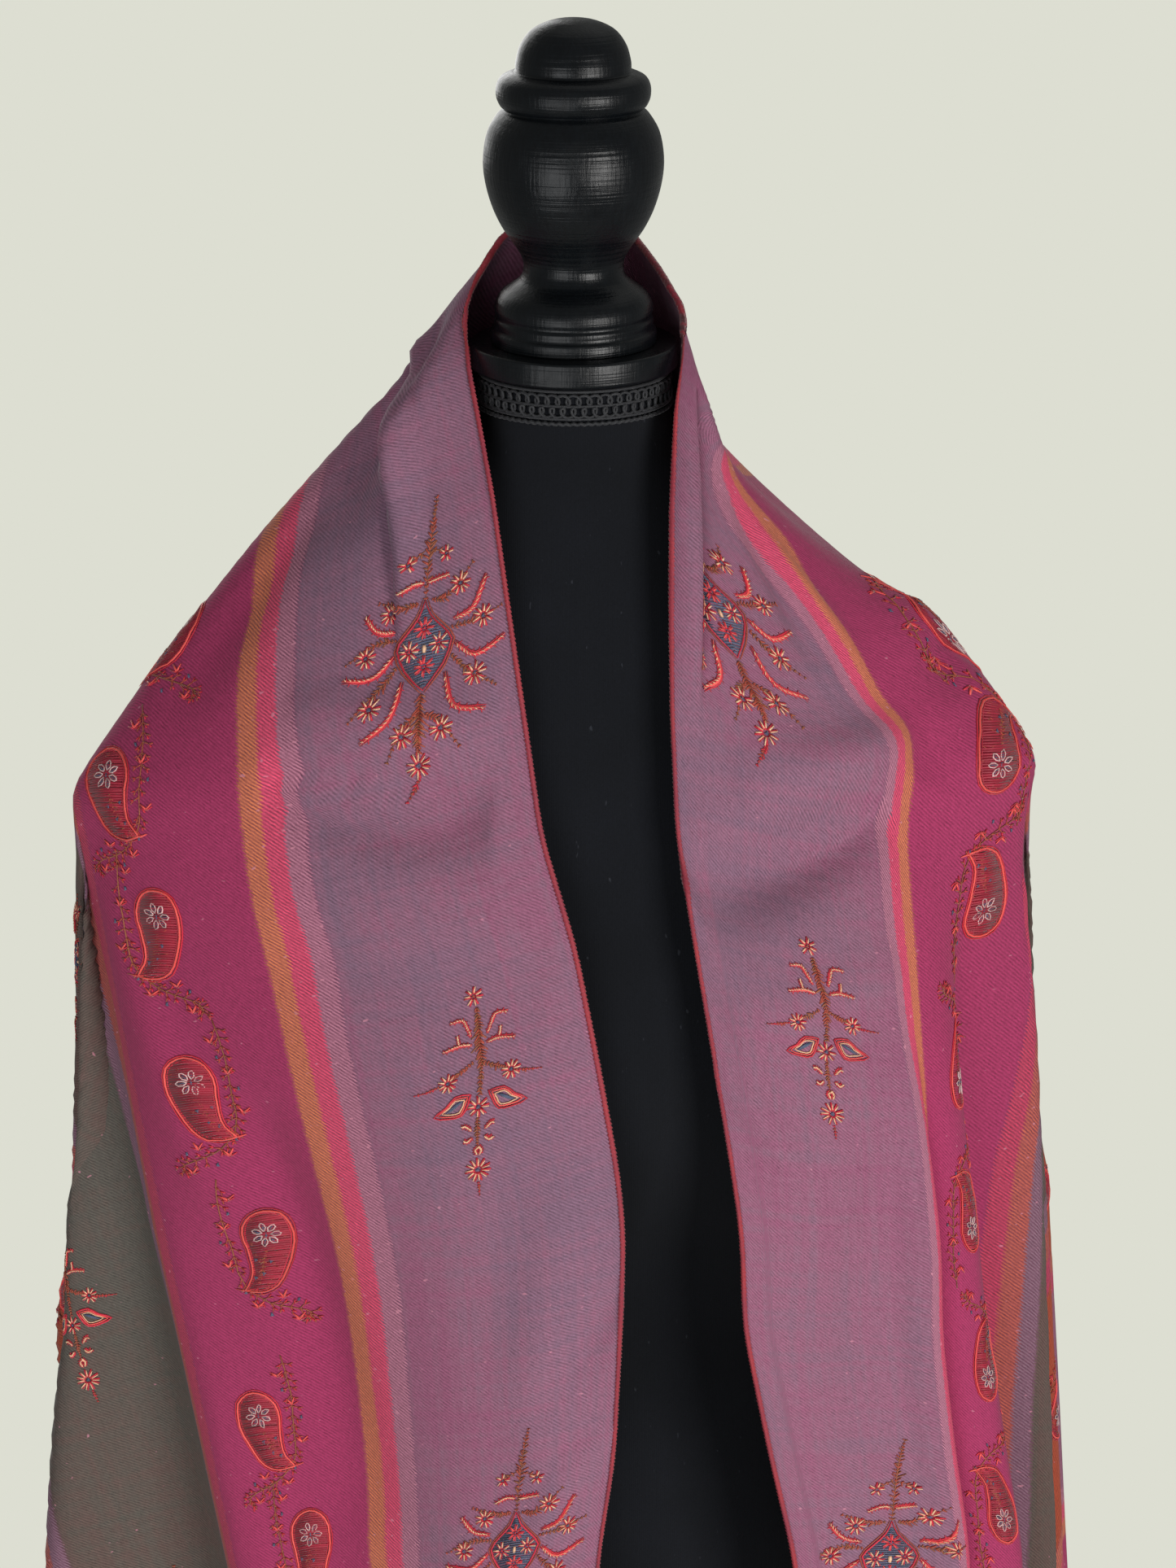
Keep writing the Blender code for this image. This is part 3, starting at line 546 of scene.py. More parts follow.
# Floss shades used by the needlework
FLOSS = {
    "crimson": tone(206, 34, 60),
    "coral": tone(252, 90, 84),
    "cream": tone(255, 198, 158),
    "rust": tone(176, 72, 54),
    "slate": tone(84, 92, 120),
    "claret": tone(164, 32, 56),
    "bronze": tone(158, 86, 54),
    "shell": tone(224, 186, 184),
}


class ShawlSizes(bpy.types.PropertyGroup):
    """Sizes of the cloth and its edge."""
    wall: bpy.props.FloatProperty(
        name="Cloth wall", description="Thickness of the woven cloth",
        default=0.0008, min=0.0003, max=0.003, unit="LENGTH")
    rows_across: bpy.props.IntProperty(
        name="Rows across", description="Faces across the width of the cloth",
        default=156, min=40, max=200)
    rows_along: bpy.props.IntProperty(
        name="Rows along", description="Faces along the length of the cloth",
        default=300, min=80, max=400)
    edge_width: bpy.props.FloatProperty(
        name="Whipped edge width", description="Width of the thread wound over the edge",
        default=0.0044, min=0.001, max=0.006, unit="LENGTH")
    stitch_pitch: bpy.props.FloatProperty(
        name="Stitch pitch", description="Run of the edge that one stitch takes",
        default=0.0019, min=0.0006, max=0.004, unit="LENGTH")


class ClothFinish(bpy.types.PropertyGroup):
    """Colours and yarn of the cloth."""
    twill_pitch: bpy.props.FloatProperty(
        name="Twill pitch", description="Distance between twill lines, along the cloth",
        default=0.00175, min=0.0005, max=0.004, unit="LENGTH")
    shot_blue: bpy.props.FloatVectorProperty(
        name="Shot blue", description="Cool yarn that shows in the plain bands",
        default=tone(118, 98, 118), size=3, subtype="COLOR", min=0, max=1)
    shot_pink: bpy.props.FloatVectorProperty(
        name="Shot pink", description="Warm yarn that shows in the plain bands",
        default=tone(152, 78, 112), size=3, subtype="COLOR", min=0, max=1)
    edge_red: bpy.props.FloatVectorProperty(
        name="Edge thread", description="Colour of the whipped edge",
        default=tone(176, 50, 60), size=3, subtype="COLOR", min=0, max=1)


class FormFinish(bpy.types.PropertyGroup):
    """Colours of the dress form."""
    jersey: bpy.props.FloatVectorProperty(
        name="Jersey", description="Cover of the form",
        default=tone(15, 17, 22), size=3, subtype="COLOR", min=0, max=1)
    braid: bpy.props.FloatVectorProperty(
        name="Braid", description="Braid round the neck",
        default=tone(15, 16, 18), size=3, subtype="COLOR", min=0, max=1)
    paint: bpy.props.FloatVectorProperty(
        name="Painted wood", description="Paint of the turned wood",
        default=tone(8, 11, 14), size=3, subtype="COLOR", min=0, max=1)


class StageFinish(bpy.types.PropertyGroup):
    """Wall, floor and light."""
    wall: bpy.props.FloatVectorProperty(
        name="Backdrop", description="Colour of the floor and of the room behind",
        default=tone(221, 222, 210), size=3, subtype="COLOR", min=0, max=1)
    light: bpy.props.FloatProperty(
        name="Light", description="Strength of the studio light",
        default=1.0, min=0.0, max=10.0)


# ---------------------------------------------------------------- materials
def add_node(material, kind, inputs=None, **settings):
    """A node with its settings made and its inputs set or joined."""
    tree = material.node_tree
    made = tree.nodes.new(kind)
    for key, value in settings.items():
        setattr(made, key, value)
    for key, value in (inputs or {}).items():
        if isinstance(value, bpy.types.NodeSocket):
            tree.links.new(value, made.inputs[key])
        else:
            made.inputs[key].default_value = value
    return made


def calculate(material, operation, a, b=0.0, c=0.0):
    """Output of one Math node."""
    return add_node(material, "ShaderNodeMath", {0: a, 1: b, 2: c}, operation=operation).outputs[0]


def mix_colours(material, share, a, b, blend="MIX"):
    """Output of a colour Mix node."""
    made = add_node(
        material, "ShaderNodeMix", {"Factor": share}, data_type="RGBA", blend_type=blend)
    for index, value in ((6, a), (7, b)):
        if isinstance(value, bpy.types.NodeSocket):
            material.node_tree.links.new(value, made.inputs[index])
        else:
            made.inputs[index].default_value = (*value, 1.0)
    return made.outputs[2]


def scaled(material, vector, scale, turn=0.0):
    """Output of a Mapping node that scales and turns a pattern's coordinates."""
    made = add_node(material, "ShaderNodeMapping", {"Vector": vector, "Scale": scale})
    made.inputs["Rotation"].default_value = (0.0, 0.0, turn)
    return made.outputs[0]


def noise(material, vector, scale, detail=2.0, roughness=0.5):
    """Output of a Noise node, 0 to 1."""
    return add_node(material, "ShaderNodeTexNoise", {
        "Vector": vector, "Scale": scale, "Detail": detail, "Roughness": roughness}).outputs[0]


def spread(material, value, low, high, to_low=0.0, to_high=1.0):
    """Output of a Map Range node."""
    return add_node(material, "ShaderNodeMapRange", {
        "Value": value, "From Min": low, "From Max": high,
        "To Min": to_low, "To Max": to_high}).outputs[0]


def start_material(name, roughness, sheen=0.0, sheen_roughness=0.5, specular=0.5):
    """A material whose even values sit on the shader's own sockets."""
    material = bpy.data.materials.new(name)
    material.use_nodes = True
    shader = material.node_tree.nodes["Principled BSDF"]
    shader.inputs["Roughness"].default_value = roughness
    shader.inputs["Sheen Weight"].default_value = sheen
    shader.inputs["Sheen Roughness"].default_value = sheen_roughness
    shader.inputs["Specular IOR Level"].default_value = specular
    return material, shader


def finish_material(material, shader, colour, height=None, strength=0.3, distance=0.0005):
    """Joins the worked-out colour and relief to the shader."""
    links = material.node_tree.links
    links.new(colour, shader.inputs["Base Color"])
    if height is not None:
        bump = add_node(material, "ShaderNodeBump", {
            "Height": height, "Strength": strength, "Distance": distance})
        links.new(bump.outputs[0], shader.inputs["Normal"])
    return material


def cloth_material(finish):
    """Fine wool twill in bands and stripes, with slubs and shot yarns."""
    material, shader = start_material("pashmina_twill", 0.92, sheen=0.12, sheen_roughness=0.4, specular=0.25)
    flat = add_node(material, "ShaderNodeUVMap", uv_map="cloth_flat").outputs[0]
    parts = add_node(material, "ShaderNodeSeparateXYZ", {0: flat})
    s, t = parts.outputs[0], parts.outputs[1]
    weft = noise(material, scaled(material, flat, (2600.0, 130.0, 1.0)), 1.0, 2.0)
    warp = noise(material, scaled(material, flat, (160.0, 2600.0, 1.0)), 1.0, 2.0)
    # twill lines run at a slant over the cloth
    lines = calculate(material, "MULTIPLY", t, -0.84)
    lines = calculate(material, "ADD", s, lines)
    wobble = noise(material, scaled(material, flat, (420.0, 420.0, 1.0)), 1.0, 2.0)
    lines = calculate(material, "MULTIPLY", lines, 2 * pi / finish.twill_pitch)
    lines = calculate(material, "MULTIPLY_ADD", wobble, 3.6, lines)
    lines = calculate(material, "SINE", lines)
    breaks = noise(material, scaled(material, flat, (330.0, 240.0, 1.0)), 1.0, 2.0)
    lines = calculate(material, "MULTIPLY", lines, spread(material, breaks, 0.34, 0.66, 0.30, 1.0))
    twill = calculate(material, "MULTIPLY_ADD", lines, 0.5, 0.5)
    # band colour: the edge between two bands wanders by a yarn or so
    ragged = noise(material, scaled(material, flat, (900.0, 60.0, 1.0)), 1.0, 1.0)
    wander = noise(material, scaled(material, flat, (9.0, 3.0, 1.0)), 1.0, 1.0)
    shifted = calculate(material, "MULTIPLY_ADD", ragged, 0.0016, t)
    shifted = calculate(material, "MULTIPLY_ADD", wander, 0.0040, shifted)
    shifted = calculate(material, "MULTIPLY_ADD", twill, 0.0028, shifted)
    shifted = calculate(material, "SUBTRACT", shifted, 0.0042)
    place = calculate(material, "WRAP", shifted, 0.0, BAND_REPEAT)
    place = calculate(material, "DIVIDE", place, BAND_REPEAT)
    ramp = add_node(material, "ShaderNodeValToRGB", {0: place})
    ramp.color_ramp.interpolation = "CONSTANT"
    stops = ramp.color_ramp.elements
    for start, colour in BANDS[1:]:
        stops.new(start / BAND_REPEAT).color = (*colour, 1.0)
    stops[0].color = (*BANDS[0][1], 1.0)
    stops.remove(stops[-1])
    band = ramp.outputs[0]
    # yarn: fine cool and warm threads
    yarn = calculate(material, "ADD", weft, warp)
    yarn = calculate(material, "MULTIPLY", yarn, 0.5)
    fleck = noise(material, flat, 950.0, 3.0, 0.75)
    heather = noise(material, scaled(material, flat, (300.0, 420.0, 1.0)), 1.0, 3.0, 0.6)
    light = calculate(material, "MULTIPLY_ADD", twill, 0.66, -0.16)
    light = calculate(material, "MULTIPLY_ADD", yarn, 0.54, light)
    light = calculate(material, "MULTIPLY_ADD", fleck, 0.70, light)
    light = calculate(material, "MULTIPLY_ADD", heather, 0.44, light)
    patch = noise(material, scaled(material, flat, (5.0, 7.0, 1.0)), 1.0, 3.0, 0.6)
    streak = noise(material, scaled(material, flat, (210.0, 9.0, 1.0)), 1.0, 2.0)
    strand = noise(material, scaled(material, flat, (7.0, 260.0, 1.0)), 1.0, 2.0)
    patch = calculate(material, "MULTIPLY_ADD", calculate(material, "ADD", streak, strand), 0.34, patch)
    patch = calculate(material, "SUBTRACT", patch, 0.34)
    cool = spread(material, patch, 0.46, 0.68, 0.0, 0.60)
    warm = spread(material, patch, 0.52, 0.32, 0.0, 0.52)
    half = calculate(material, "WRAP", shifted, 0.0, BAND_REPEAT / 2)
    is_plain = calculate(material, "COMPARE", half, 0.050, 0.050)
    is_rich = calculate(material, "COMPARE", half, 0.168, 0.039)
    striped = calculate(material, "SUBTRACT", calculate(material, "SUBTRACT", 1.0, is_plain), is_rich)
    cool = calculate(material, "MULTIPLY", cool, is_plain)
    warm = calculate(material, "MULTIPLY", warm, is_plain)
    is_mauve = calculate(material, "COMPARE", place, 0.050 / BAND_REPEAT, 0.052 / BAND_REPEAT)
    blue = mix_colours(material, is_mauve, tone(84, 86, 80), tuple(finish.shot_blue))
    pink = mix_colours(material, is_mauve, tone(104, 76, 74), tuple(finish.shot_pink))
    colour = mix_colours(material, cool, band, blue)
    colour = mix_colours(material, warm, colour, pink)
    # the narrow stripes let the ground through between their twill lines
    ground = calculate(material, "MULTIPLY", calculate(material, "SUBTRACT", 1.0, twill), 0.62)
    ground = calculate(material, "MULTIPLY", ground, striped)
    colour = mix_colours(material, ground, colour, tone(122, 62, 92))
    shade = add_node(material, "ShaderNodeCombineColor", {0: light, 1: light, 2: light}).outputs[0]
    colour = mix_colours(material, 1.0, colour, shade, "MULTIPLY")
    # slubs: short bright loops, thick in the narrow stripes and rare in the plain bands
    slub = noise(material, scaled(material, flat, (380.0, 210.0, 1.0)), 1.0, 1.0)
    rare = calculate(material, "MULTIPLY_ADD", striped, -0.05, 0.75)
    slub = spread(material, calculate(material, "SUBTRACT", slub, rare), 0.0, 0.05, 0.0, 0.5)
    colour = mix_colours(material, slub, colour, tone(226, 150, 170))
    height = calculate(material, "MULTIPLY_ADD", twill, 0.6, calculate(material, "MULTIPLY", yarn, 0.8))
    height = calculate(material, "ADD", height, calculate(material, "MULTIPLY", slub, 0.8))
    pucker = noise(material, scaled(material, flat, (75.0, 48.0, 1.0)), 1.0, 2.0)
    height = calculate(material, "MULTIPLY_ADD", pucker, 3.2, height)
    return finish_material(material, shader, colour, height, 0.5, 0.0004)


def floss_material():
    """Twisted floss, its shade taken from each strand."""
    material, shader = start_material("embroidery_floss", 0.5, sheen=0.25, sheen_roughness=0.35)
    shade = add_node(material, "ShaderNodeAttribute", attribute_name="floss_shade").outputs[0]
    place = add_node(material, "ShaderNodeTexCoord").outputs["Object"]
    grain = noise(material, place, 2600.0, 2.0, 0.7)
    light = spread(material, grain, 0.25, 0.75, 0.72, 1.28)
    rgb = add_node(material, "ShaderNodeCombineColor", {0: light, 1: light, 2: light}).outputs[0]
    colour = mix_colours(material, 1.0, shade, rgb, "MULTIPLY")
    return finish_material(material, shader, colour, grain, 0.4, 0.0003)


def edge_material(finish):
    """Red thread wound over the cloth's edge."""
    material, shader = start_material("whipping_thread", 0.62, sheen=0.3, sheen_roughness=0.4)
    place = add_node(material, "ShaderNodeTexCoord").outputs["Object"]
    grain = noise(material, place, 1800.0, 3.0, 0.7)
    age = noise(material, place, 45.0, 2.0)
    colour = mix_colours(material, spread(material, age, 0.3, 0.7), tuple(finish.edge_red), tone(150, 46, 66))
    light = spread(material, grain, 0.25, 0.75, 0.66, 1.3)
    rgb = add_node(material, "ShaderNodeCombineColor", {0: light, 1: light, 2: light}).outputs[0]
    colour = mix_colours(material, 1.0, colour, rgb, "MULTIPLY")
    return finish_material(material, shader, colour, grain, 0.5, 0.0004)


def jersey_material(finish):
    """Matt black jersey with a fine knit and a little lint."""
    material, shader = start_material("black_jersey", 0.95, sheen=0.03, sheen_roughness=0.6, specular=0.2)
    place = add_node(material, "ShaderNodeTexCoord").outputs["Object"]
    ribs = add_node(material, "ShaderNodeTexWave", {
        "Vector": place, "Scale": 330.0, "Distortion": 1.2, "Detail": 1.0, "Detail Scale": 40.0},
        wave_type="BANDS", bands_direction="X").outputs["Fac"]
    fuzz = noise(material, place, 1500.0, 3.0, 0.7)
    lint = noise(material, scaled(material, place, (420.0, 420.0, 160.0)), 1.0, 1.0)
    lint = spread(material, lint, 0.76, 0.80, 0.0, 0.35)
    worn = noise(material, place, 14.0, 3.0)
    base = mix_colours(material, spread(material, worn, 0.35, 0.7), tuple(finish.jersey), tone(20, 22, 28))
    light = spread(material, fuzz, 0.3, 0.7, 0.7, 1.25)
    rgb = add_node(material, "ShaderNodeCombineColor", {0: light, 1: light, 2: light}).outputs[0]
    colour = mix_colours(material, 1.0, base, rgb, "MULTIPLY")
    colour = mix_colours(material, lint, colour, tone(70, 72, 80))
    height = calculate(material, "MULTIPLY_ADD", ribs, 0.6, fuzz)
    return finish_material(material, shader, colour, height, 0.35, 0.0004)


def braid_material(finish):
    """Black cord of the neck braid."""
    material, shader = start_material("black_braid_cord", 0.55, sheen=0.2, sheen_roughness=0.4)
    place = add_node(material, "ShaderNodeTexCoord").outputs["Object"]
    grain = noise(material, place, 2400.0, 3.0, 0.7)
    colour = mix_colours(material, spread(material, grain, 0.3, 0.7), tuple(finish.braid), tone(46, 47, 52))
    return finish_material(material, shader, colour, grain, 0.6, 0.0004)


def painted_wood(finish):
    """Satin black paint over turned wood, brushed round, with rubbed places."""
    material, shader = start_material("black_painted_wood", 0.30, specular=0.28)
    place = add_node(material, "ShaderNodeTexCoord").outputs["Object"]
    grain = noise(material, scaled(material, place, (700.0, 700.0, 34.0)), 1.0, 4.0, 0.65)
    rings = noise(material, scaled(material, place, (18.0, 18.0, 900.0)), 1.0, 2.0)
    rub = noise(material, place, 60.0, 4.0, 0.6)
    colour = mix_colours(
        material, spread(material, grain, 0.40, 0.75, 0.0, 0.6), tuple(finish.paint), tone(15, 20, 24))
    rough = spread(material, rub, 0.3, 0.7, 0.20, 0.40)
    material.node_tree.links.new(rough, shader.inputs["Roughness"])
    height = calculate(material, "MULTIPLY_ADD", grain, 0.8, rings)
    return finish_material(material, shader, colour, height, 0.4, 0.0006)


def floor_material(finish):
    """Plain pale floor."""
    material, shader = start_material("pale_floor", 0.95)
    place = add_node(material, "ShaderNodeTexCoord").outputs["Object"]
    cloud = noise(material, place, 1.4, 2.0)
    colour = mix_colours(
        material, spread(material, cloud, 0.3, 0.7), tuple(finish.wall), tone(228, 229, 217))
    return finish_material(material, shader, colour)


# ---------------------------------------------------------------- shared mesh work
def finish_piece(name, mesh, material, node=None):
    """Object of a finished mesh, riding on the part, in place of a node where one is named."""
    mesh.materials.clear()
    mesh.materials.append(material)
    piece = bpy.data.objects.new(name, mesh)
    bpy.context.scene.collection.objects.link(piece)
    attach(piece, "root")
    if node:
        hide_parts(node)
    return piece


def mesh_of(name, bm, smooth_below=radians(40)):
    """Mesh of a bmesh, faces outward, smooth away from its sharp edges."""
    bmesh.ops.recalc_face_normals(bm, faces=bm.faces)
    mesh = bpy.data.meshes.new(name)
    bm.to_mesh(mesh)
    bm.free()
    mesh.shade_smooth()
    if smooth_below < pi:
        mesh.set_sharp_from_angle(angle=smooth_below)
    return mesh


def read_points(mesh):
    """All vertex places of a mesh as rows of an array."""
    flat = np.empty(len(mesh.vertices) * 3, dtype=np.float32)
    mesh.vertices.foreach_get("co", flat)
    return flat.reshape(-1, 3).astype(float)


def write_points(mesh, points):
    """Puts vertex places back into a mesh."""
    mesh.vertices.foreach_set("co", points.astype(np.float32).ravel())
    mesh.update()


# ---------------------------------------------------------------- hanging cloth
class HangingCloth:
    """The hung cloth as a net of rows, read anywhere on it by its flat place."""

    def __init__(self, s_lines, t_lines, points):
        self.s_lines, self.t_lines, self.points = s_lines, t_lines, points
        down = np.gradient(points, s_lines, axis=1)
        over = np.gradient(points, t_lines, axis=0)
        normal = np.cross(down, over)
        self.normals = normal / np.maximum(np.linalg.norm(normal, axis=2, keepdims=True), 1e-9)

    def read(self, s, t):
        """Place and outward direction at flat points; past an edge they carry straight on."""
        i = np.clip(np.searchsorted(self.s_lines, s) - 1, 0, len(self.s_lines) - 2)
        j = np.clip(np.searchsorted(self.t_lines, t) - 1, 0, len(self.t_lines) - 2)
        a = (s - self.s_lines[i]) / (self.s_lines[i + 1] - self.s_lines[i])
        b = (t - self.t_lines[j]) / (self.t_lines[j + 1] - self.t_lines[j])
        a, b = a[:, None], b[:, None]
        result = []
        for net in (self.points, self.normals):
            near = net[j, i] * (1 - a) + net[j, i + 1] * a
            far = net[j + 1, i] * (1 - a) + net[j + 1, i + 1] * a
            result.append(near * (1 - b) + far * b)
        place, normal = result
        return place, normal / np.maximum(np.linalg.norm(normal, axis=1, keepdims=True), 1e-9)


def spaced_lines(knots, count):
    """Positions of a net's lines, as close together as the knots of (share, place) ask."""
    shares = np.linspace(0.0, 1.0, count + 1)
    return np.interp(shares, column(knots, 0), column(knots, 1))


HUNG = {}


def hang_cloth(sizes):
    """Works out the hung cloth once, for the panel and all that is sewn on it."""
    s_lines = spaced_lines(
        ((0.0, -1.0), (0.09, -0.70), (0.29, -0.30), (0.42, 0.0), (0.46, 0.07), (0.62, 0.22),
         (0.69, 0.30), (0.91, 0.70), (1.0, 1.0)),
        sizes.rows_along)
    t_lines = spaced_lines(((0.0, 0.0), (0.36, 0.13), (0.72, 0.45), (1.0, 1.0)), sizes.rows_across)
    s, t = np.meshgrid(s_lines, t_lines)
    flat_s, hung_t = s.ravel(), gathered(s.ravel(), t.ravel())
    plain = cloth_points(flat_s, hung_t)
    rise = crease_rise(flat_s, hung_t)[:, None]
    outward = HangingCloth(s_lines, t_lines, plain.reshape(*s.shape, 3)).normals.reshape(-1, 3)
    points = clear_of_form(plain + outward * rise + pleat_shift(flat_s, hung_t))
    points[:, 2] += DISC_TOP
    HUNG["cloth"] = HangingCloth(s_lines, t_lines, points.reshape(*s.shape, 3))
    return HUNG["cloth"]


def make_panel(sizes, material):
    """The woven panel: a flat net laid on the hung cloth, with a wall."""
    cloth = hang_cloth(sizes)
    bm = bmesh.new()
    bmesh.ops.create_grid(bm, x_segments=sizes.rows_along, y_segments=sizes.rows_across, size=0.5)
    mesh = bpy.data.meshes.new("pashmina_panel")
    bm.to_mesh(mesh)
    bm.free()
    flat = read_points(mesh)
    i = np.rint((flat[:, 0] + 0.5) * sizes.rows_along).astype(int)
    j = np.rint((flat[:, 1] + 0.5) * sizes.rows_across).astype(int)
    write_points(mesh, cloth.points[j, i])
    corner = np.empty(len(mesh.loops), dtype=np.int32)
    mesh.loops.foreach_get("vertex_index", corner)
    uv = np.stack([cloth.s_lines[i], cloth.t_lines[j]], axis=1)[corner]
    layer = mesh.uv_layers.new(name="cloth_flat")
    layer.data.foreach_set("uv", uv.astype(np.float32).ravel())
    mesh.shade_smooth()
    panel = finish_piece("pashmina_panel", mesh, material, "shawl_panel")
    wall = panel.modifiers.new("wall", "SOLIDIFY")
    wall.thickness = sizes.wall
    wall.offset = 0.0
    return panel


# ---------------------------------------------------------------- needlework
def sweep(points, count):
    """Smooth run of count points through a few given ones."""
    p = np.array(points, dtype=float)
    p = np.vstack([2 * p[0] - p[1], p, 2 * p[-1] - p[-2]])
    u = np.linspace(0.0, len(p) - 3 - 1e-9, count)
    k = u.astype(int)
    w = (u - k)[:, None]
    a, b, c, d = p[k], p[k + 1], p[k + 2], p[k + 3]
    return 0.5 * (2 * b + (c - a) * w + (2 * a - 5 * b + 4 * c - d) * w ** 2
                  + (3 * b - a - 3 * c + d) * w ** 3)


def beside(path, offset):
    """A run laid beside another at an even distance."""
    step = np.gradient(path, axis=0)
    step /= np.maximum(np.linalg.norm(step, axis=1, keepdims=True), 1e-9)
    return path + np.stack([-step[:, 1], step[:, 0]], axis=1) * offset


class Needlework:
    """Strands of floss drawn flat in millimetres, then sewn on the hung cloth."""

    def __init__(self, seed):
        self.random = np.random.default_rng(seed)
        self.strands = []
        self.place = (0.0, 0.0, 1.0, 1.0, 0.0, 1.0)

    def move_to(self, s, t, way=1.0, mirror=1.0, lean=0.0, size=1.0):
        """The next strands are drawn round this flat place, top towards the nape."""
        self.place = (s, t, way, mirror, lean, size)

    def lay(self, path, width, shade, lift=0.0, taper=0.45):
        """One strand along a path, thinner at its ends."""
        path = np.asarray(path, dtype=float) + self.random.normal(0.0, 0.10, (len(path), 2))
        s, t, way, mirror, lean, size = self.place
        x, y = path[:, 0] * mirror * size / 1000, path[:, 1] * size / 1000
        x = x + lean * y
        ends = np.minimum(np.linspace(0, 1, len(path)), np.linspace(1, 0, len(path)))
        widths = width / 1000 * (taper + (1 - taper) * np.clip(ends * 4, 0, 1))
        if len(path) == 2:
            widths = width / 1000 * np.array([1.0, 0.55])
        widths *= self.random.uniform(0.88, 1.14)
        colour = np.array(FLOSS[shade]) * self.random.uniform(0.80, 1.18)
        self.strands.append((s + way * y, t - way * x, widths, colour, lift / 1000))

    def stroke(self, x, y, turn, length, width, shade, lift=0.0):
        """One straight stitch from a place, at a turn from the upright."""
        self.lay([(x, y), (x + length * sin(turn), y + length * cos(turn))], width, shade, lift)

    def daisy(self, x, y, radius, petals=9, inner="slate", outer="cream"):
        """Open flower: long pale petals over a dark red ground, a dot in the middle."""
        for k in range(petals):
            turn = 2 * pi * (k + self.random.uniform(-0.15, 0.15)) / petals
            self.stroke(x + 0.28 * radius * sin(turn), y + 0.28 * radius * cos(turn),
                        turn, radius * 0.88, 0.80, "crimson", 0.0)
            turn += pi / petals * 0.5
            self.stroke(x + 0.40 * radius * sin(turn), y + 0.40 * radius * cos(turn),
                        turn, radius * self.random.uniform(0.62, 0.78), 0.46, outer, 0.50)
        for turn in (0.3, 2.4, 4.5):
            self.stroke(x - 0.10 * radius * sin(turn), y - 0.10 * radius * cos(turn),
                        turn, radius * 0.30, 0.42, inner, 0.30)

    def leaf(self, points, width=1.0):
        """Long curved leaf: coral cord between two crimson ones, barbed along the outside."""
        path = sweep(points, 9)
        self.lay(beside(path, 0.72 * width), 0.58 * width, "crimson", 0.0, 0.3)
        self.lay(beside(path, -0.72 * width), 0.58 * width, "crimson", 0.0, 0.3)
        self.lay(path, 0.64 * width, "coral", 0.40, 0.35)
        run = sweep(points, 14)[1:-1]
        for k, (x, y) in enumerate(run):
            step = run[min(k + 1, len(run) - 1)] - run[max(k - 1, 0)]
            turn = np.arctan2(step[0], step[1])
            self.stroke(x, y, turn + 0.55, 1.5 * width, 0.32, "cream", 1.05)
            side = 1 if k % 2 else -1
            self.stroke(x, y, turn + side * 1.1, 2.3 * width, 0.36, "crimson", 0.05)

    def spray(self, points, reach, count, shade="rust", other="bronze", stem=0.30):
        """Jagged foliage: a stem with short stitches to both sides, longest in the middle."""
        path = sweep(points, max(5, count))
        self.lay(sweep(points, 6), stem, other, 0.0, 0.4)
        for k, (x, y) in enumerate(path):
            step = path[min(k + 1, len(path) - 1)] - path[max(k - 1, 0)]
            turn = np.arctan2(step[0], step[1])
            share = 1.0 - abs(2.0 * k / (len(path) - 1) - 0.8)
            length = reach * (0.35 + 0.65 * max(0.0, share)) * self.random.uniform(0.7, 1.25)
            for side in (-1, 1):
                self.stroke(x, y, turn + side * self.random.uniform(0.6, 1.15),
                            length * self.random.uniform(0.6, 1.0), 0.56,
                            shade if self.random.random() < 0.72 else other,
                            self.random.uniform(0.0, 0.2))

    def large_sprig(self):
        """Tall sprig: ogee heart, six long leaves, nine flowers and a tapering tip."""
        self.spray([(0, 20), (1, 36), (2.5, 48), (5, 60)], 4.2, 22)
        self.spray([(0, 40), (-4, 38), (-7, 36.5)], 2.0, 5)
        self.spray([(1, 40), (6, 38), (9, 36.5)], 2.0, 5)
        for side in (-1, 1):
            self.daisy(side * 8 + 1, 36, 3.0, 5)
            self.leaf([(side * 0.6, 26.5), (side * 5, 27), (side * 10.5, 26 + side * 1.5)], 0.8)
            self.leaf([(side * 12.5, 9), (side * 21, 11.5), (side * 27, 21 + side * 2)])
            self.leaf([(side * 13, 0), (side * 22, -7), (side * 35, -4 + side * 1.5)])
            self.leaf([(side * 9, -11), (side * 13, -25), (side * 26, -30.5 + side * 1.5)])
            self.spray([(side * 3, 19), (side * 10, 19), (side * 21, 26 + side * 3)], 3.0, 13)
            self.daisy(side * 15.5, 20 + side * 2.5, 4.1)
            self.spray([(side * 12, 6), (side * 22, 6.5), (side * 34, 5 + side * 4)], 2.8, 13)
            self.daisy(side * 25.5, 4.5 + side * 2.5, 4.0)
            self.spray([(side * 12, -5), (side * 19, -13), (side * 30, -22 + side)], 3.2, 14)
            self.daisy(side * 21.5, -17 + side * 2.5, 4.3)
            self.spray([(side * 2, -26), (side * 8, -30), (side * 15, -41)], 3.2, 11)
            self.daisy(side * 8, -32.5, 4.2)
        self.spray([(-0.5, -18), (-1, -30), (-1.5, -40)], 6.0, 22)
        self.daisy(-2, -45, 4.6, 10)
        self.spray([(-2, -49), (-4, -53), (-6.5, -58)], 2.2, 8, "crimson", "rust")
        self.ogee()

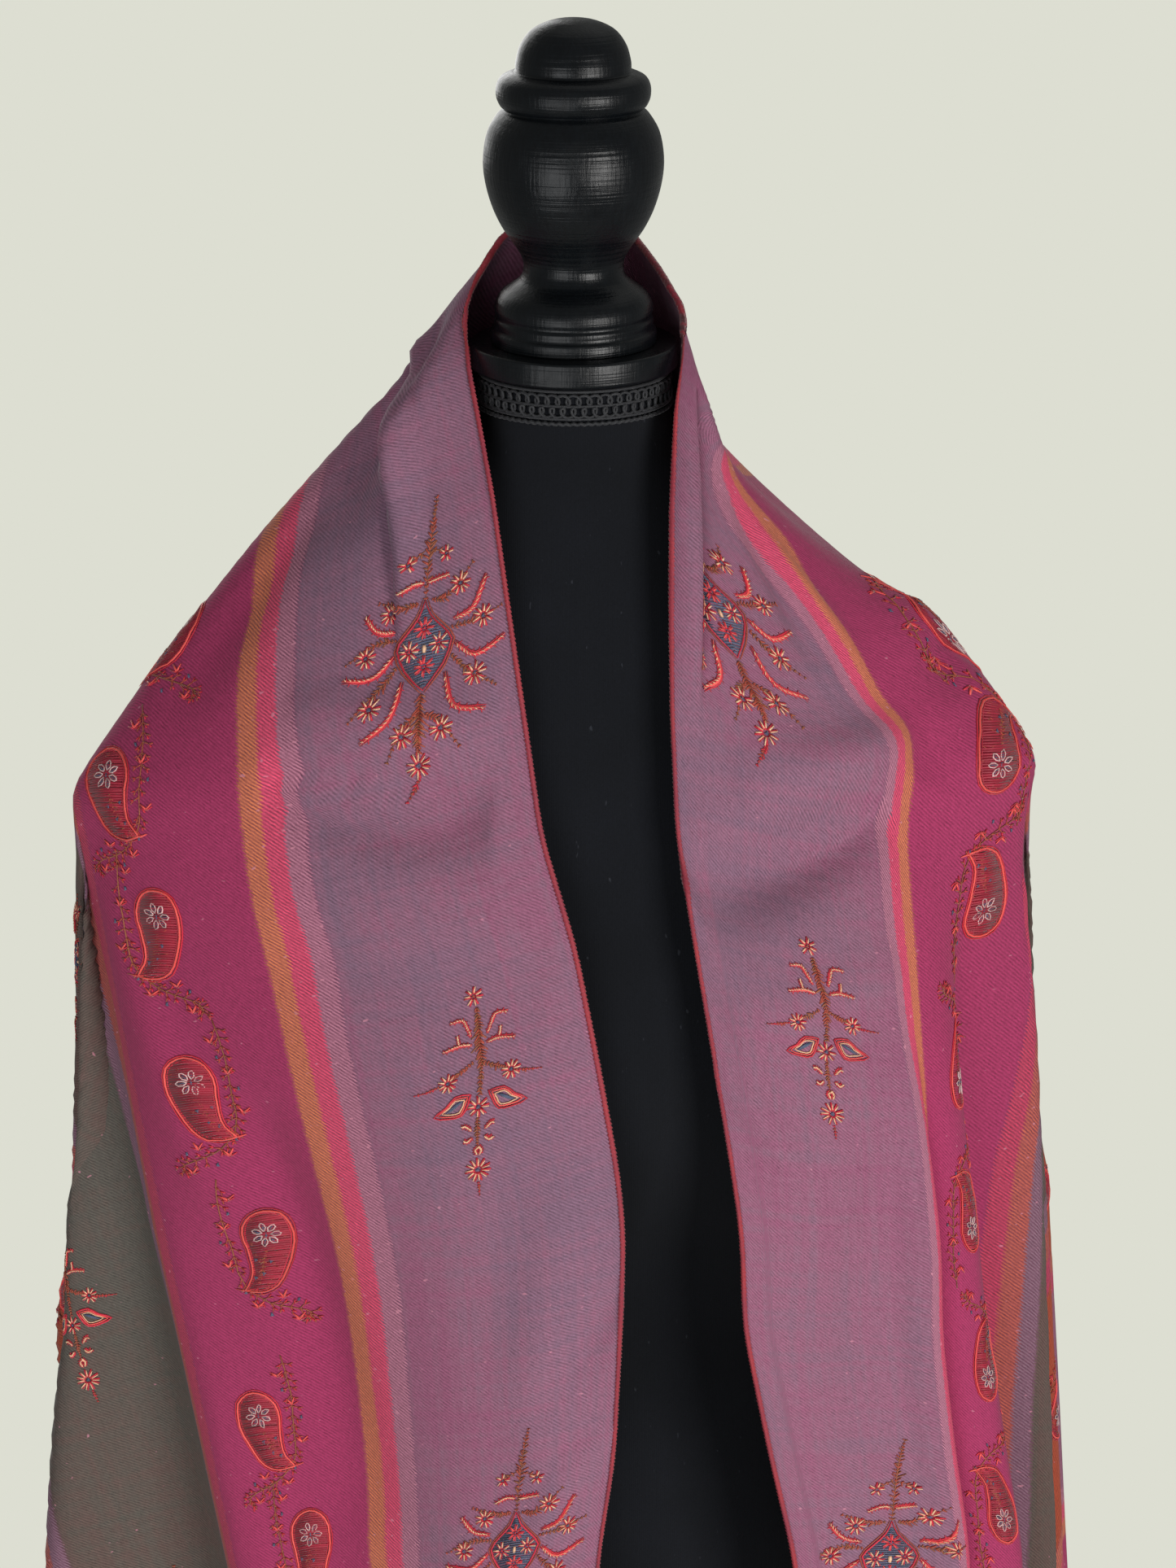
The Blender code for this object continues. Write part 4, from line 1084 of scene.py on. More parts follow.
    def ogee(self):
        """Pointed heart of the large sprig: slate ground, four rosettes, a pale eye."""
        half = [(0, 19.5), (2.6, 13), (7.6, 7.4), (11.8, 1.5), (8.2, -7), (3.6, -12.6), (0, -16.5)]
        for side in (-1, 1):
            path = sweep([(side * x, y) for x, y in half], 13)
            self.lay(path, 0.55, "crimson", 0.25)
            self.lay(beside(path, side * 1.1), 0.42, "rust", 0.05)
        xs = [x for x, y in half][::-1]
        ys = [y for x, y in half][::-1]
        for y in np.arange(-14.5, 17.0, 1.15):
            reach = np.interp(y, ys, xs) - 0.7
            if reach > 0.5:
                self.lay([(-reach, y), (0, y + 0.3), (reach, y)], 0.52, "slate", -0.1, 0.9)
        for x, y in ((0, 8.6), (0, -6.8), (-6.4, 0.4), (6.3, 1.4)):
            self.daisy(x, y, 3.8, 8, "crimson", "coral" if x == 0 else "cream")
        self.lay([(0, -1.2), (0, 0.3), (0, 1.8)], 1.0, "cream", 0.75, 0.7)

    def small_sprig(self):
        """Short sprig: antler leaves, two almond leaves and five flowers on one spine."""
        self.spray([(0, 33), (1, 20), (2, 6), (1, -9)], 5.2, 30)
        self.daisy(-1.5, 39, 4.2, 7, "rust")
        for side in (-1, 1):
            self.leaf([(side * 4 + 1, 19.5), (side * 6 + 1, 24.5), (side * 8.5 + 1, 28.5),
                       (side * 14.5 + 1, 28)], 0.72)
            self.leaf([(side * 3.5 + 1, 15.5), (side * 9.5 + 1, 16.5), (side * 18 + 1, 14.8)], 0.78)
            self.leaf([(side * 9.8 + 1, 17), (side * 10.3 + 1, 19.2), (side * 10.6 + 1, 21.5)], 0.5)
            self.spray([(side * 2, 7), (side * 9, 3), (side * 15, 1)], 2.6, 11)
            self.daisy(side * 15.5 + 1, -0.6, 4.2)
            self.spray([(side * 19, -1.5), (side * 24, -3), (side * 31, -4)], 1.5, 8, "rust", "crimson")
            self.almond(side)
            self.leaf([(side * 3.2, -27.5), (side * 6, -24.8), (side * 7.6, -24.6)], 0.72)
            self.leaf([(side * 3.0, -31), (side * 5.2, -33), (side * 7.0, -32.4)], 0.72)
        self.daisy(0.2, -15.5, 4.8, 8)
        self.spray([(0, -20), (-0.4, -28), (-0.5, -36)], 2.6, 12, "bronze", "rust")
        self.leaf([(-0.6, -41), (-1.6, -38), (0.4, -36.3)], 0.7)
        self.leaf([(0.2, -41), (1.2, -38.5), (0.2, -36.6)], 0.7)
        self.daisy(-0.4, -49, 5.6, 11)
        self.spray([(0, -56), (0.2, -59), (0.4, -63)], 1.6, 5, "crimson", "rust")

    def almond(self, side):
        """Broad almond leaf with a slate middle."""
        outer = [(4.4, -8.4), (12, -8.2), (17, -13), (22.8, -17.2), (15.5, -19), (9, -18.4), (6, -13)]
        ring = sweep([(side * x + 1, y) for x, y in outer + outer[:1]], 15)
        middle = ring.mean(axis=0)
        self.lay(ring, 0.55, "crimson", 0.1, 0.9)
        self.lay(middle + (ring - middle) * 0.80, 0.42, "coral", 0.3, 0.9)
        self.lay(middle + (ring - middle) * 0.60, 0.38, "cream", 0.25, 0.9)
        for shift in (-1.3, 0.0, 1.3):
            ends = [(side * (9.4 + shift) + 1, -11 - shift * 0.4),
                    (side * (15.5 + shift) + 1, -15.6 - shift * 0.4)]
            self.lay([ends[0], ((ends[0][0] + ends[1][0]) / 2, (ends[0][1] + ends[1][1]) / 2), ends[1]],
                     0.55, "slate", 0.05, 0.5)

    def paisley(self):
        """Bent drop: coral outline, claret ground, a pale flower in its head."""
        outer = [(10.8, -17.6), (4.0, -18.6), (-2.6, -15.6), (-7.6, -6.0), (-10.2, 4.0), (-8.6, 13.2),
                 (-2.4, 16.8), (4.0, 14.4), (7.4, 7.6), (6.6, -2.0), (6.8, -11.0), (10.8, -17.6)]
        ring = sweep(outer, 30)
        for k, y in enumerate(np.arange(-17.0, 16.0, 0.95)):
            cuts = [a[0] + (b[0] - a[0]) * (y - a[1]) / (b[1] - a[1])
                    for a, b in zip(ring, ring[1:]) if (a[1] - y) * (b[1] - y) < 0]
            if len(cuts) == 2 and abs(cuts[0] - cuts[1]) > 2.0:
                low, high = min(cuts) + 0.6, max(cuts) - 0.6
                self.lay([(low, y), ((low + high) / 2, y + 0.35), (high, y)], 0.86, "claret", -0.12, 0.9)
                for x in self.random.uniform(low, high, 1):
                    self.stroke(x, y, self.random.uniform(0.8, 2.2), 1.7, 0.26, "rust", 0.22)
        self.lay(beside(ring, 0.95), 0.42, "crimson", 0.0, 0.8)
        self.lay(beside(ring, -0.90), 0.40, "crimson", 0.1, 0.8)
        self.lay(ring, 0.62, "coral", 0.35, 0.8)
        self.lay([(8.5, -17.4), (11.5, -17.4), (14.5, -16.6)], 0.55, "coral", 0.3)
        for k in range(7):
            turn = 2 * pi * k / 7 + 0.2
            self.petal(-1.2, 6.4, turn)
        self.stroke(-1.2, 5.4, 0.0, 2.0, 0.5, "slate", 0.4)
        self.spray([(0, -1), (2, -7), (4.4, -14)], 2.8, 9, "rust", "bronze", 0.26)
        for x, y in ((-1.6, -5.5), (3.8, -4.2), (1.6, -10.6), (5.0, -12.2)):
            self.stroke(x, y, 1.2, 1.4, 0.42, "slate", 0.45)
            self.stroke(x + 0.7, y - 0.7, 0.0, 1.4, 0.42, "slate", 0.50)

    def petal(self, x, y, turn):
        """One looped petal of the paisley's flower."""
        loop = [(0, 1.5), (0.95, 2.9), (0.85, 4.4), (0, 5.3), (-0.85, 4.4), (-0.95, 2.9), (0, 1.5)]
        c, d = cos(turn), sin(turn)
        self.lay([(x + u * c + v * d, y - u * d + v * c) for u, v in loop], 0.36, "shell", 0.50, 0.9)
        self.lay([(x + v * d, y + v * c) for v in (2.0, 3.2, 4.5)], 0.42, "slate", 0.3, 0.6)

    def vine(self, reach):
        """Thin winding stem past one paisley to the next, with small leaves and buds."""
        stem = sweep([(14, 37.5), (16, 20), (15, 0), (13, -16), (3, -27), (-12, -33), (-14, -37.5)], 26)
        self.lay(stem, 0.34, "bronze", 0.0, 0.9)
        for k, (x, y) in enumerate(stem[1:-1]):
            step = stem[k + 2] - stem[k]
            turn = np.arctan2(step[0], step[1])
            for side in (-1, 1):
                if self.random.random() < 0.86:
                    long = reach * self.random.uniform(0.55, 1.1)
                    aim = turn + side * self.random.uniform(0.5, 1.2)
                    self.stroke(x, y, aim, long, 0.46, "rust", 0.0)
                    tip = (x + long * sin(aim), y + long * cos(aim))
                    self.stroke(*tip, aim + 0.5, 2.0, 0.60, "crimson", 0.1)
                    self.stroke(*tip, aim - 0.5, 2.0, 0.50, "rust", 0.1)
        for x, y in ((16, 12), (18, -8), (8, -29), (-4, -25), (-9, -37), (11, 27)):
            for aim in (-0.7, 0.7):
                self.stroke(x, y, aim + self.random.uniform(-0.3, 0.3), 3.8, 0.60, "coral", 0.35)
                self.stroke(x, y - 0.5, aim * 1.6, 3.4, 0.54, "crimson", 0.1)
        for x, y in ((12, 19), (19, 4), (12, -22), (2, -34), (-10, -28)):
            self.stroke(x, y, 0.4, 1.7, 0.46, "slate", 0.2)
            self.stroke(x + 0.8, y, -0.6, 1.7, 0.42, "slate", 0.25)

    def sew(self, name, material):
        """All strands as one piece lying on the cloth."""
        curve = bpy.data.curves.new(name, "CURVE")
        curve.dimensions = "3D"
        curve.twist_mode = "Z_UP"
        curve.bevel_mode = "OBJECT"
        curve.bevel_object = strand_section()
        curve.use_fill_caps = True
        for s, t, widths, _, lift in self.strands:
            add_spline(curve, s, t, np.full(len(s), lift), widths)
        mesh = mesh_of_curve(name, curve)
        self.shade(mesh)
        bm = bmesh.new()
        bm.from_mesh(mesh)
        bmesh.ops.remove_doubles(bm, verts=bm.verts, dist=1e-7)
        bm.to_mesh(mesh)
        bm.free()
        lay_on_cloth(mesh, THREAD_SINK)
        mesh.shade_smooth()
        return finish_piece(name, mesh, material)

    def shade(self, mesh):
        """Stores each strand's shade on its points: the caps come first, last strand to first."""
        counts = np.array([len(row[0]) for row in self.strands]) * STRAND_CORNERS
        shades = np.array([row[3] for row in self.strands])
        caps = np.repeat(shades[::-1], 2 * STRAND_CORNERS, axis=0)
        colours = np.concatenate([caps, np.repeat(shades, counts, axis=0)])
        rgba = np.concatenate([np.clip(colours, 0, 1), np.ones((len(colours), 1))], axis=1)
        layer = mesh.color_attributes.new("floss_shade", "FLOAT_COLOR", "POINT")
        layer.data.foreach_set("color", rgba.astype(np.float32).ravel())


STRAND_CORNERS = 3


def strand_section():
    """Section of a strand: flat below, rounded over by its shading."""
    if "strand_section" in bpy.data.objects:
        return bpy.data.objects["strand_section"]
    curve = bpy.data.curves.new("strand_section", "CURVE")
    curve.dimensions = "2D"
    spline = curve.splines.new("POLY")
    spline.points.add(STRAND_CORNERS - 1)
    spline.use_cyclic_u = True
    for point, (x, y) in zip(spline.points, ((-1.0, -0.3), (0.0, 1.0), (1.0, -0.3))):
        point.co = (x, y, 0.0, 1.0)
    section = bpy.data.objects.new("strand_section", curve)
    bpy.context.scene.collection.objects.link(section)
    return section


def add_spline(curve, x, y, z, widths, closed=False):
    """One straight-jointed spline with its half widths."""
    spline = curve.splines.new("POLY")
    spline.points.add(len(x) - 1)
    spline.use_cyclic_u = closed
    rows = np.stack([x, y, z, np.ones(len(x))], axis=1)
    spline.points.foreach_set("co", rows.astype(np.float32).ravel())
    spline.points.foreach_set("radius", np.broadcast_to(widths, len(x)).astype(np.float32))


def mesh_of_curve(name, curve):
    """Mesh of a bevelled curve, which is then removed."""
    guide = bpy.data.objects.new(name + "_guide", curve)
    bpy.context.scene.collection.objects.link(guide)
    graph = bpy.context.evaluated_depsgraph_get()
    mesh = bpy.data.meshes.new_from_object(guide.evaluated_get(graph))
    bpy.data.objects.remove(guide)
    bpy.data.curves.remove(curve)
    mesh.name = name
    return mesh


THREAD_SINK = 0.00015
THREAD_FLAT = 0.62           # height of a strand for its width


def lay_on_cloth(mesh, sink, flatness=THREAD_FLAT):
    """Moves a flat mesh (s, t, height) on to the hung cloth's face."""
    flat = read_points(mesh)
    place, normal = HUNG["cloth"].read(flat[:, 0], flat[:, 1])
    height = flat[:, 2:3] * flatness + bpy.context.scene.shawl_sizes.wall / 2 - sink
    write_points(mesh, place + normal * (height + 0.0004))


# ---------------------------------------------------------------- motifs over the cloth
PLAIN_BANDS = {"mauve": (0.050, 0.522), "grey": (0.297, 0.758)}
PAISLEY_BANDS = {"magenta": (0.170, 0.642), "rust": (0.406, 0.878)}
# Sprigs along the first mauve band: along, across, lean, tall one
FIRST_SPRIGS = (
    (-0.855, 0.050, 0.00, False), (-0.638, 0.050, 0.00, True), (-0.402, 0.051, 0.17, False),
    (-0.222, 0.041, 0.12, True), (0.0, 0.050, 0.00, False), (0.208, 0.053, 0.10, True),
    (0.376, 0.062, 0.00, False), (0.650, 0.073, 0.15, True), (0.855, 0.050, 0.00, False))
SPRIG_PITCH = 0.212
SPRIGS_IN_ROW = 11
ROW_SHIFT = 0.40             # pitches from one row's sprigs to the next row's
GREY_SHIFT = 0.64            # pitches from the mauve rows' sprigs to the grey rows'
LARGE_SPRIG = 1.05
SMALL_SPRIG = 0.85
PAISLEY_SIZE = 1.16
PAISLEY_PITCH = 0.0765
PAISLEY_WANDER = 0.006       # a paisley's place across its band, either way
VINE_REACH = 3.0             # length of a vine's side stitches (mm)
# Paisleys along the first magenta band: along, across
FIRST_PAISLEYS = (
    (-0.945, 0.166), (-0.868, 0.174), (-0.792, 0.165), (-0.714, 0.175), (-0.638, 0.162),
    (-0.574, 0.176), (-0.482, 0.160), (-0.404, 0.174), (-0.326, 0.177), (-0.262, 0.190),
    (-0.186, 0.165), (-0.110, 0.174), (-0.036, 0.166), (0.042, 0.173), (0.121, 0.194),
    (0.192, 0.172), (0.258, 0.171), (0.324, 0.172), (0.398, 0.158), (0.470, 0.160),
    (0.548, 0.166), (0.624, 0.158), (0.700, 0.157), (0.778, 0.175), (0.856, 0.167), (0.932, 0.174))
ENDS_CLEAR = 0.055           # bare cloth before a hem


def sew_sprigs(name, seed, middles, material):
    """Sprigs, large and small by turns, along the plain bands."""
    work = Needlework(seed)
    for row, t in enumerate(middles):
        places = FIRST_SPRIGS
        if t != PLAIN_BANDS["mauve"][0]:
            shift = ROW_SHIFT * row + (GREY_SHIFT if name.endswith("grey") else 0.0)
            places = [((k + shift % 1.0 - SPRIGS_IN_ROW // 2) * SPRIG_PITCH, t, 0.0, (k + row) % 2 == 1)
                      for k in range(SPRIGS_IN_ROW)]
        for s, across, lean, large in places:
            if abs(s) > CLOTH_LENGTH / 2 - ENDS_CLEAR * 1.6:
                continue
            size = LARGE_SPRIG if large else SMALL_SPRIG
            work.move_to(s, across, -1.0 if s > 0 else 1.0, 1.0, lean, size)
            if large:
                work.large_sprig()
            else:
                work.small_sprig()
    return work.sew(name, material)


def sew_paisleys(name, seed, middles, material):
    """Paisleys down the coloured bands with a vine winding between them."""
    work = Needlework(seed)
    for t in middles:
        places = FIRST_PAISLEYS
        if t != PAISLEY_BANDS["magenta"][0]:
            first = ENDS_CLEAR + 0.03 - CLOTH_LENGTH / 2
            places = [(s, t + work.random.uniform(-PAISLEY_WANDER, PAISLEY_WANDER))
                      for s in np.arange(first, CLOTH_LENGTH / 2 - ENDS_CLEAR, PAISLEY_PITCH)]
        for k, (s, across) in enumerate(places):
            mirror = 1.0 if k % 2 else -1.0
            work.move_to(s, across, 1.0, mirror, 0.0, PAISLEY_SIZE)
            work.paisley()
            work.move_to(s, across, 1.0, mirror)
            work.vine(VINE_REACH)
    return work.sew(name, material)


# ---------------------------------------------------------------- whipped edge
EDGE_OVERLAP = 0.0004        # middle of the whipping inside the cloth's edge
STITCH_SLANT = 1.1           # slant of a stitch, as a share of the pitch
STITCH_VALLEY = 0.62         # width between two stitches, as a share of the widest


def edge_run(pitch):
    """Flat places round the four edges, half a stitch apart."""
    half = CLOTH_LENGTH / 2 - EDGE_OVERLAP
    low, high = EDGE_OVERLAP, CLOTH_WIDTH - EDGE_OVERLAP
    corners = np.array([(-half, low), (-half, high), (half, high), (half, low), (-half, low)])
    runs = np.concatenate([[0.0], np.cumsum(np.linalg.norm(np.diff(corners, axis=0), axis=1))])
    count = int(runs[-1] / pitch) * 2
    at = np.linspace(0.0, runs[-1], count, endpoint=False)
    return np.stack([np.interp(at, runs, corners[:, i]) for i in (0, 1)], axis=1)


def make_edge(sizes, material):
    """Thread wound over the cloth's edge, stitch after stitch."""
    run = edge_run(sizes.stitch_pitch)
    random = np.random.default_rng(5)
    widths = np.where(np.arange(len(run)) % 2 == 0, 1.0, STITCH_VALLEY)
    widths = widths * sizes.edge_width / 2 * random.uniform(0.92, 1.07, len(run))
    curve = bpy.data.curves.new("whipped_edge", "CURVE")
    curve.dimensions = "3D"
    curve.twist_mode = "Z_UP"
    curve.bevel_depth = 1.0
    curve.bevel_resolution = 1
    add_spline(curve, run[:, 0], run[:, 1], np.zeros(len(run)), widths, closed=True)
    mesh = mesh_of_curve("whipped_edge", curve)
    slant_stitches(mesh, run, sizes)
    lay_on_cloth(mesh, sizes.wall / 2 + 0.0004, 0.80)
    mesh.shade_smooth()
    return finish_piece("whipped_edge", mesh, material, "edge_whipping")


def slant_stitches(mesh, run, sizes):
    """Leans every stitch along the edge by how far inside the edge it reaches."""
    points = read_points(mesh)
    around = len(points) // len(run)
    middle = np.repeat(run, around, axis=0)
    step = np.roll(run, -1, axis=0) - np.roll(run, 1, axis=0)
    step /= np.linalg.norm(step, axis=1, keepdims=True)
    along_run = np.repeat(step, around, axis=0)
    offset = points[:, :2] - middle
    inward = offset[:, 0] * -along_run[:, 1] + offset[:, 1] * along_run[:, 0]
    lean = inward / (sizes.edge_width / 2) * STITCH_SLANT * sizes.stitch_pitch
    points[:, :2] += along_run * lean[:, None]
    write_points(mesh, points)


# ---------------------------------------------------------------- dress form
FORM_SEGMENTS = 96
FORM_RINGS = 72


def make_form(material):
    """Cover of the limbless form: one ring drawn down and shaped at every height."""
    rows = sweep(BODY_ROWS[:-1], FORM_RINGS).tolist() + [BODY_ROWS[-1]]
    bm = bmesh.new()
    ring = bmesh.ops.create_circle(bm, cap_ends=False, segments=FORM_SEGMENTS, radius=1.0)["verts"]
    unit = [v.co.copy() for v in ring]
    edges = list(bm.edges)
    top = list(edges)
    for k, (drop, half, front, back) in enumerate(rows):
        if k:
            made = bmesh.ops.extrude_edge_only(bm, edges=edges)["geom"]
            ring = [g for g in made if isinstance(g, bmesh.types.BMVert)]
            edges = [g for g in made if isinstance(g, bmesh.types.BMEdge)]
        for vert, base in zip(ring, unit):
            depth = back if base.y > 0 else front
            vert.co = (base.x * half, base.y * depth, DISC_TOP - drop)
    bmesh.ops.contextual_create(bm, geom=edges)
    bmesh.ops.contextual_create(bm, geom=top)
    mesh = mesh_of("form_cover", bm)
    return finish_piece("form_cover", mesh, material, "form_body")


BRAID_LOOPS = 58
BRAID_RISE = 0.0021          # half height of a loop
BRAID_CORD = 0.00062
BRAID_OFF = 0.0010           # cord middle off the cover


def braid_path(kind, z, way, turns):
    """Flat run of one cord of the braid: around (0 to 1), height, stand-off."""
    u = np.linspace(0.0, 1.0, turns, endpoint=False)
    phase = u * 2 * pi * BRAID_LOOPS
    if kind == "loop":
        around = u + way * 0.95 / BRAID_LOOPS * 0.42 * np.sin(phase)
        height = z + BRAID_RISE * np.cos(phase)
        off = BRAID_OFF + 0.0004 * np.sin(phase + 0.8)
    elif kind == "picot":
        around = u
        height = z - 0.0006 * np.abs(np.sin(phase / 2 * 1.5))
        off = BRAID_OFF + 0.0002 * np.cos(phase * 1.5)
    else:
        around, height, off = u, np.full_like(u, z), np.full_like(u, BRAID_OFF * 0.8)
    return around, height, off


def make_braid(material):
    """Two rows of looped cord between plain cords, bobbles on the lower edge."""
    low, high = (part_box("neck_braid")[i][2] for i in (0, 1))
    middle = (low + high) / 2
    curve = bpy.data.curves.new("neck_braid_cords", "CURVE")
    curve.dimensions = "3D"
    curve.bevel_depth = 1.0
    curve.bevel_resolution = 1
    rows = (
        ("loop", middle + 0.0038, 1.0, BRAID_LOOPS * 12, 1.0),
        ("loop", middle - 0.0016, -1.0, BRAID_LOOPS * 12, 1.0),
        ("plain", high - 0.0010, 1.0, 160, 1.1),
        ("plain", middle + 0.0011, 1.0, 160, 1.0),
        ("plain", middle - 0.0043, 1.0, 160, 1.0),
        ("picot", low + 0.0022, 1.0, BRAID_LOOPS * 9, 1.25))
    for kind, z, way, turns, thick in rows:
        around, height, off = braid_path(kind, z, way, turns)
        half, front, back = body_sections(height - DISC_TOP)
        angle = around * 2 * pi
        depth = np.where(np.cos(angle) < 0, back, front)
        x = (half + off) * np.sin(angle)
        y = -(depth + off) * np.cos(angle)
        add_spline(curve, x, y, height, BRAID_CORD * thick, closed=True)
    mesh = mesh_of_curve("neck_braid_cords", curve)
    mesh.shade_smooth()
    return finish_piece("neck_braid_cords", mesh, material, "neck_braid")


# Turned finial: radius, height above the disc top
FINIAL_ROWS = (
    (0.0354, 0.0003), (0.0354, 0.0050), (0.0340, 0.0064), (0.0340, 0.0098),
    (0.0332, 0.0112), (0.0338, 0.0140), (0.0332, 0.0178), (0.0308, 0.0214),
    (0.0266, 0.0244), (0.0232, 0.0270), (0.0215, 0.0304), (0.0217, 0.0356),
    (0.0252, 0.0420), (0.0302, 0.0492), (0.0344, 0.0580), (0.0372, 0.0680),
    (0.0381, 0.0780), (0.0363, 0.0890), (0.0320, 0.0965), (0.0294, 0.0990),
    (0.0308, 0.1005), (0.0323, 0.1040), (0.0323, 0.1085), (0.0304, 0.1120),
    (0.0262, 0.1140), (0.0244, 0.1148), (0.0240, 0.1190), (0.0220, 0.1255),
    (0.0172, 0.1315), (0.0088, 0.1352), (0.0, 0.1362))
TURNED_STEPS = 112


def turn_piece(name, profile, material, node):
    """Turned wood: a smooth profile spun round the upright axis."""
    bm = bmesh.new()
    verts = [bm.verts.new((max(r, 0.0), 0.0, z)) for r, z in profile]
    edges = [bm.edges.new(pair) for pair in zip(verts, verts[1:])]
    bmesh.ops.spin(
        bm, geom=verts + edges, cent=(0, 0, 0), axis=(0, 0, 1),
        angle=2 * pi, steps=TURNED_STEPS, use_merge=True)
    bmesh.ops.remove_doubles(bm, verts=bm.verts, dist=0.00002)
    return finish_piece(name, mesh_of(name, bm), material, node)


def make_finial(material):
    """Beads, waist, ball and cap of the finial."""
    smooth = sweep(FINIAL_ROWS, len(FINIAL_ROWS) * 4)
    profile = [(0.0, FINIAL_ROWS[0][1])] + [(r, z) for r, z in smooth]
    profile[-1] = FINIAL_ROWS[-1]
    return turn_piece("turned_finial", [(r, DISC_TOP + z) for r, z in profile], material, "finial")


def make_disc(material):
    """Neck disc with eased rims."""
    low, ease = -DISC_THICKNESS, 0.0012
    rim = []
    for middle_z, start in ((low + ease, -pi / 2), (-ease, 0.0)):
        for k in range(6):
            angle = start + pi / 2 * k / 5
            rim.append((DISC_RADIUS - ease + ease * cos(angle), middle_z + ease * sin(angle)))
    profile = [(0.0, low)] + rim + [(0.0, 0.0)]
    return turn_piece("turned_neck_disc", [(r, DISC_TOP + z) for r, z in profile], material, "neck_disc")


# ---------------------------------------------------------------- stage
LENS = 79.8
EYE = (0.0061, -1.4585, DISC_TOP + 0.3502)
EYE_PITCH = radians(90 - 20.777)
FLOOR_RADIUS = 1.05
ROOM_LIGHT = 0.21


def make_stage(finish):
    """Pale floor in a pale room, soft lights and the camera."""
    bm = bmesh.new()
    bmesh.ops.create_circle(bm, cap_ends=True, segments=160, radius=FLOOR_RADIUS)
    bmesh.ops.translate(bm, verts=bm.verts, vec=(0.0, 0.0, -0.0005))
    mesh = mesh_of("pale_floor", bm)
    mesh.materials.append(floor_material(finish))
    floor = bpy.data.objects.new("pale_floor", mesh)
    bpy.context.scene.collection.objects.link(floor)
    light = finish.light
    add_light("key", (2.1, -2.8, 1.15), (0.0, 0.0, 1.1), 1.5, 80.0 * light, (1.0, 0.985, 0.965))
    add_light("fill", (-1.3, -3.0, 0.60), (0.0, 0.0, 1.0), 2.2, 42.0 * light, (0.97, 0.985, 1.0))
    add_light("back", (-1.2, 3.0, 1.9), (0.0, 0.0, 1.0), 2.0, 26.0 * light, (1.0, 1.0, 0.99))
    add_light("top", (0.6, 0.6, 3.4), (0.0, 0.0, 1.1), 2.2, 3.0 * light, (1.0, 1.0, 0.99))
    bpy.context.scene.world = room(finish)
    bpy.context.scene.view_settings.view_transform = "Standard"
    add_camera()


def room(finish):
    """World that looks like a pale wall and lights the piece softly."""
    world = bpy.data.worlds.new("soft_room")
    world.use_nodes = True
    nodes, links = world.node_tree.nodes, world.node_tree.links
    seen, lit = nodes["Background"], nodes.new("ShaderNodeBackground")
    seen.inputs[0].default_value = (*finish.wall, 1.0)
    lit.inputs[0].default_value = (0.93, 0.95, 0.92, 1.0)
    lit.inputs[1].default_value = ROOM_LIGHT * finish.light
    ray, both = nodes.new("ShaderNodeLightPath"), nodes.new("ShaderNodeMixShader")
    links.new(ray.outputs["Is Camera Ray"], both.inputs[0])
    links.new(lit.outputs[0], both.inputs[1])
    links.new(seen.outputs[0], both.inputs[2])
    links.new(both.outputs[0], nodes["World Output"].inputs[0])
    return world


def add_light(name, place, aim, size, power, colour):
    """One square soft light aimed at a point."""
    lamp = bpy.data.lights.new(name, "AREA")
    lamp.size = size
    lamp.energy = power
    lamp.color = colour
    holder = bpy.data.objects.new(name, lamp)
    holder.location = place
    holder.rotation_euler = (Vector(aim) - Vector(place)).to_track_quat("-Z", "Y").to_euler()
    holder.visible_camera = False
    bpy.context.scene.collection.objects.link(holder)


def add_camera():
    """Camera a little above the form, looking gently down."""
    lens = bpy.data.cameras.new("camera")
    lens.lens = LENS
    lens.sensor_width = 36.0
    lens.clip_start = 0.05
    holder = bpy.data.objects.new("camera", lens)
    holder.location = EYE
    holder.rotation_euler = (EYE_PITCH, 0.0, 0.0)
    bpy.context.scene.collection.objects.link(holder)
    bpy.context.scene.camera = holder


# ---------------------------------------------------------------- operators
class SHAWL_OT_panel(bpy.types.Operator):
    """Weave the striped panel and hang it over the form"""
    bl_idname = "shawl.panel"
    bl_label = "Hang the panel"

    def execute(self, context):
        scene = context.scene
        make_panel(scene.shawl_sizes, cloth_material(scene.shawl_cloth))
        return {"FINISHED"}


class SHAWL_OT_sprigs(bpy.types.Operator):
    """Sew the sprigs of the mauve and grey bands"""
    bl_idname = "shawl.sprigs"
    bl_label = "Sew the sprigs"

    def execute(self, context):
        floss = floss_material()
        sew_sprigs("sprigs_mauve", 11, PLAIN_BANDS["mauve"], floss)
        sew_sprigs("sprigs_grey", 12, PLAIN_BANDS["grey"], floss)
        return {"FINISHED"}


class SHAWL_OT_paisleys(bpy.types.Operator):
    """Sew the paisleys and vines of the magenta and rust bands"""
    bl_idname = "shawl.paisleys"
    bl_label = "Sew the paisleys"

    def execute(self, context):
        floss = bpy.data.materials["embroidery_floss"]
        for k, (band, middles) in enumerate(PAISLEY_BANDS.items()):
            for row, t in enumerate(middles):
                sew_paisleys(f"paisleys_{band}_{row + 1}", 21 + 2 * k + row, (t,), floss)
        return {"FINISHED"}


class SHAWL_OT_edge(bpy.types.Operator):
    """Whip the cloth's edge with red thread"""
    bl_idname = "shawl.edge"
    bl_label = "Whip the edge"

    def execute(self, context):
        scene = context.scene
        make_edge(scene.shawl_sizes, edge_material(scene.shawl_cloth))
        return {"FINISHED"}


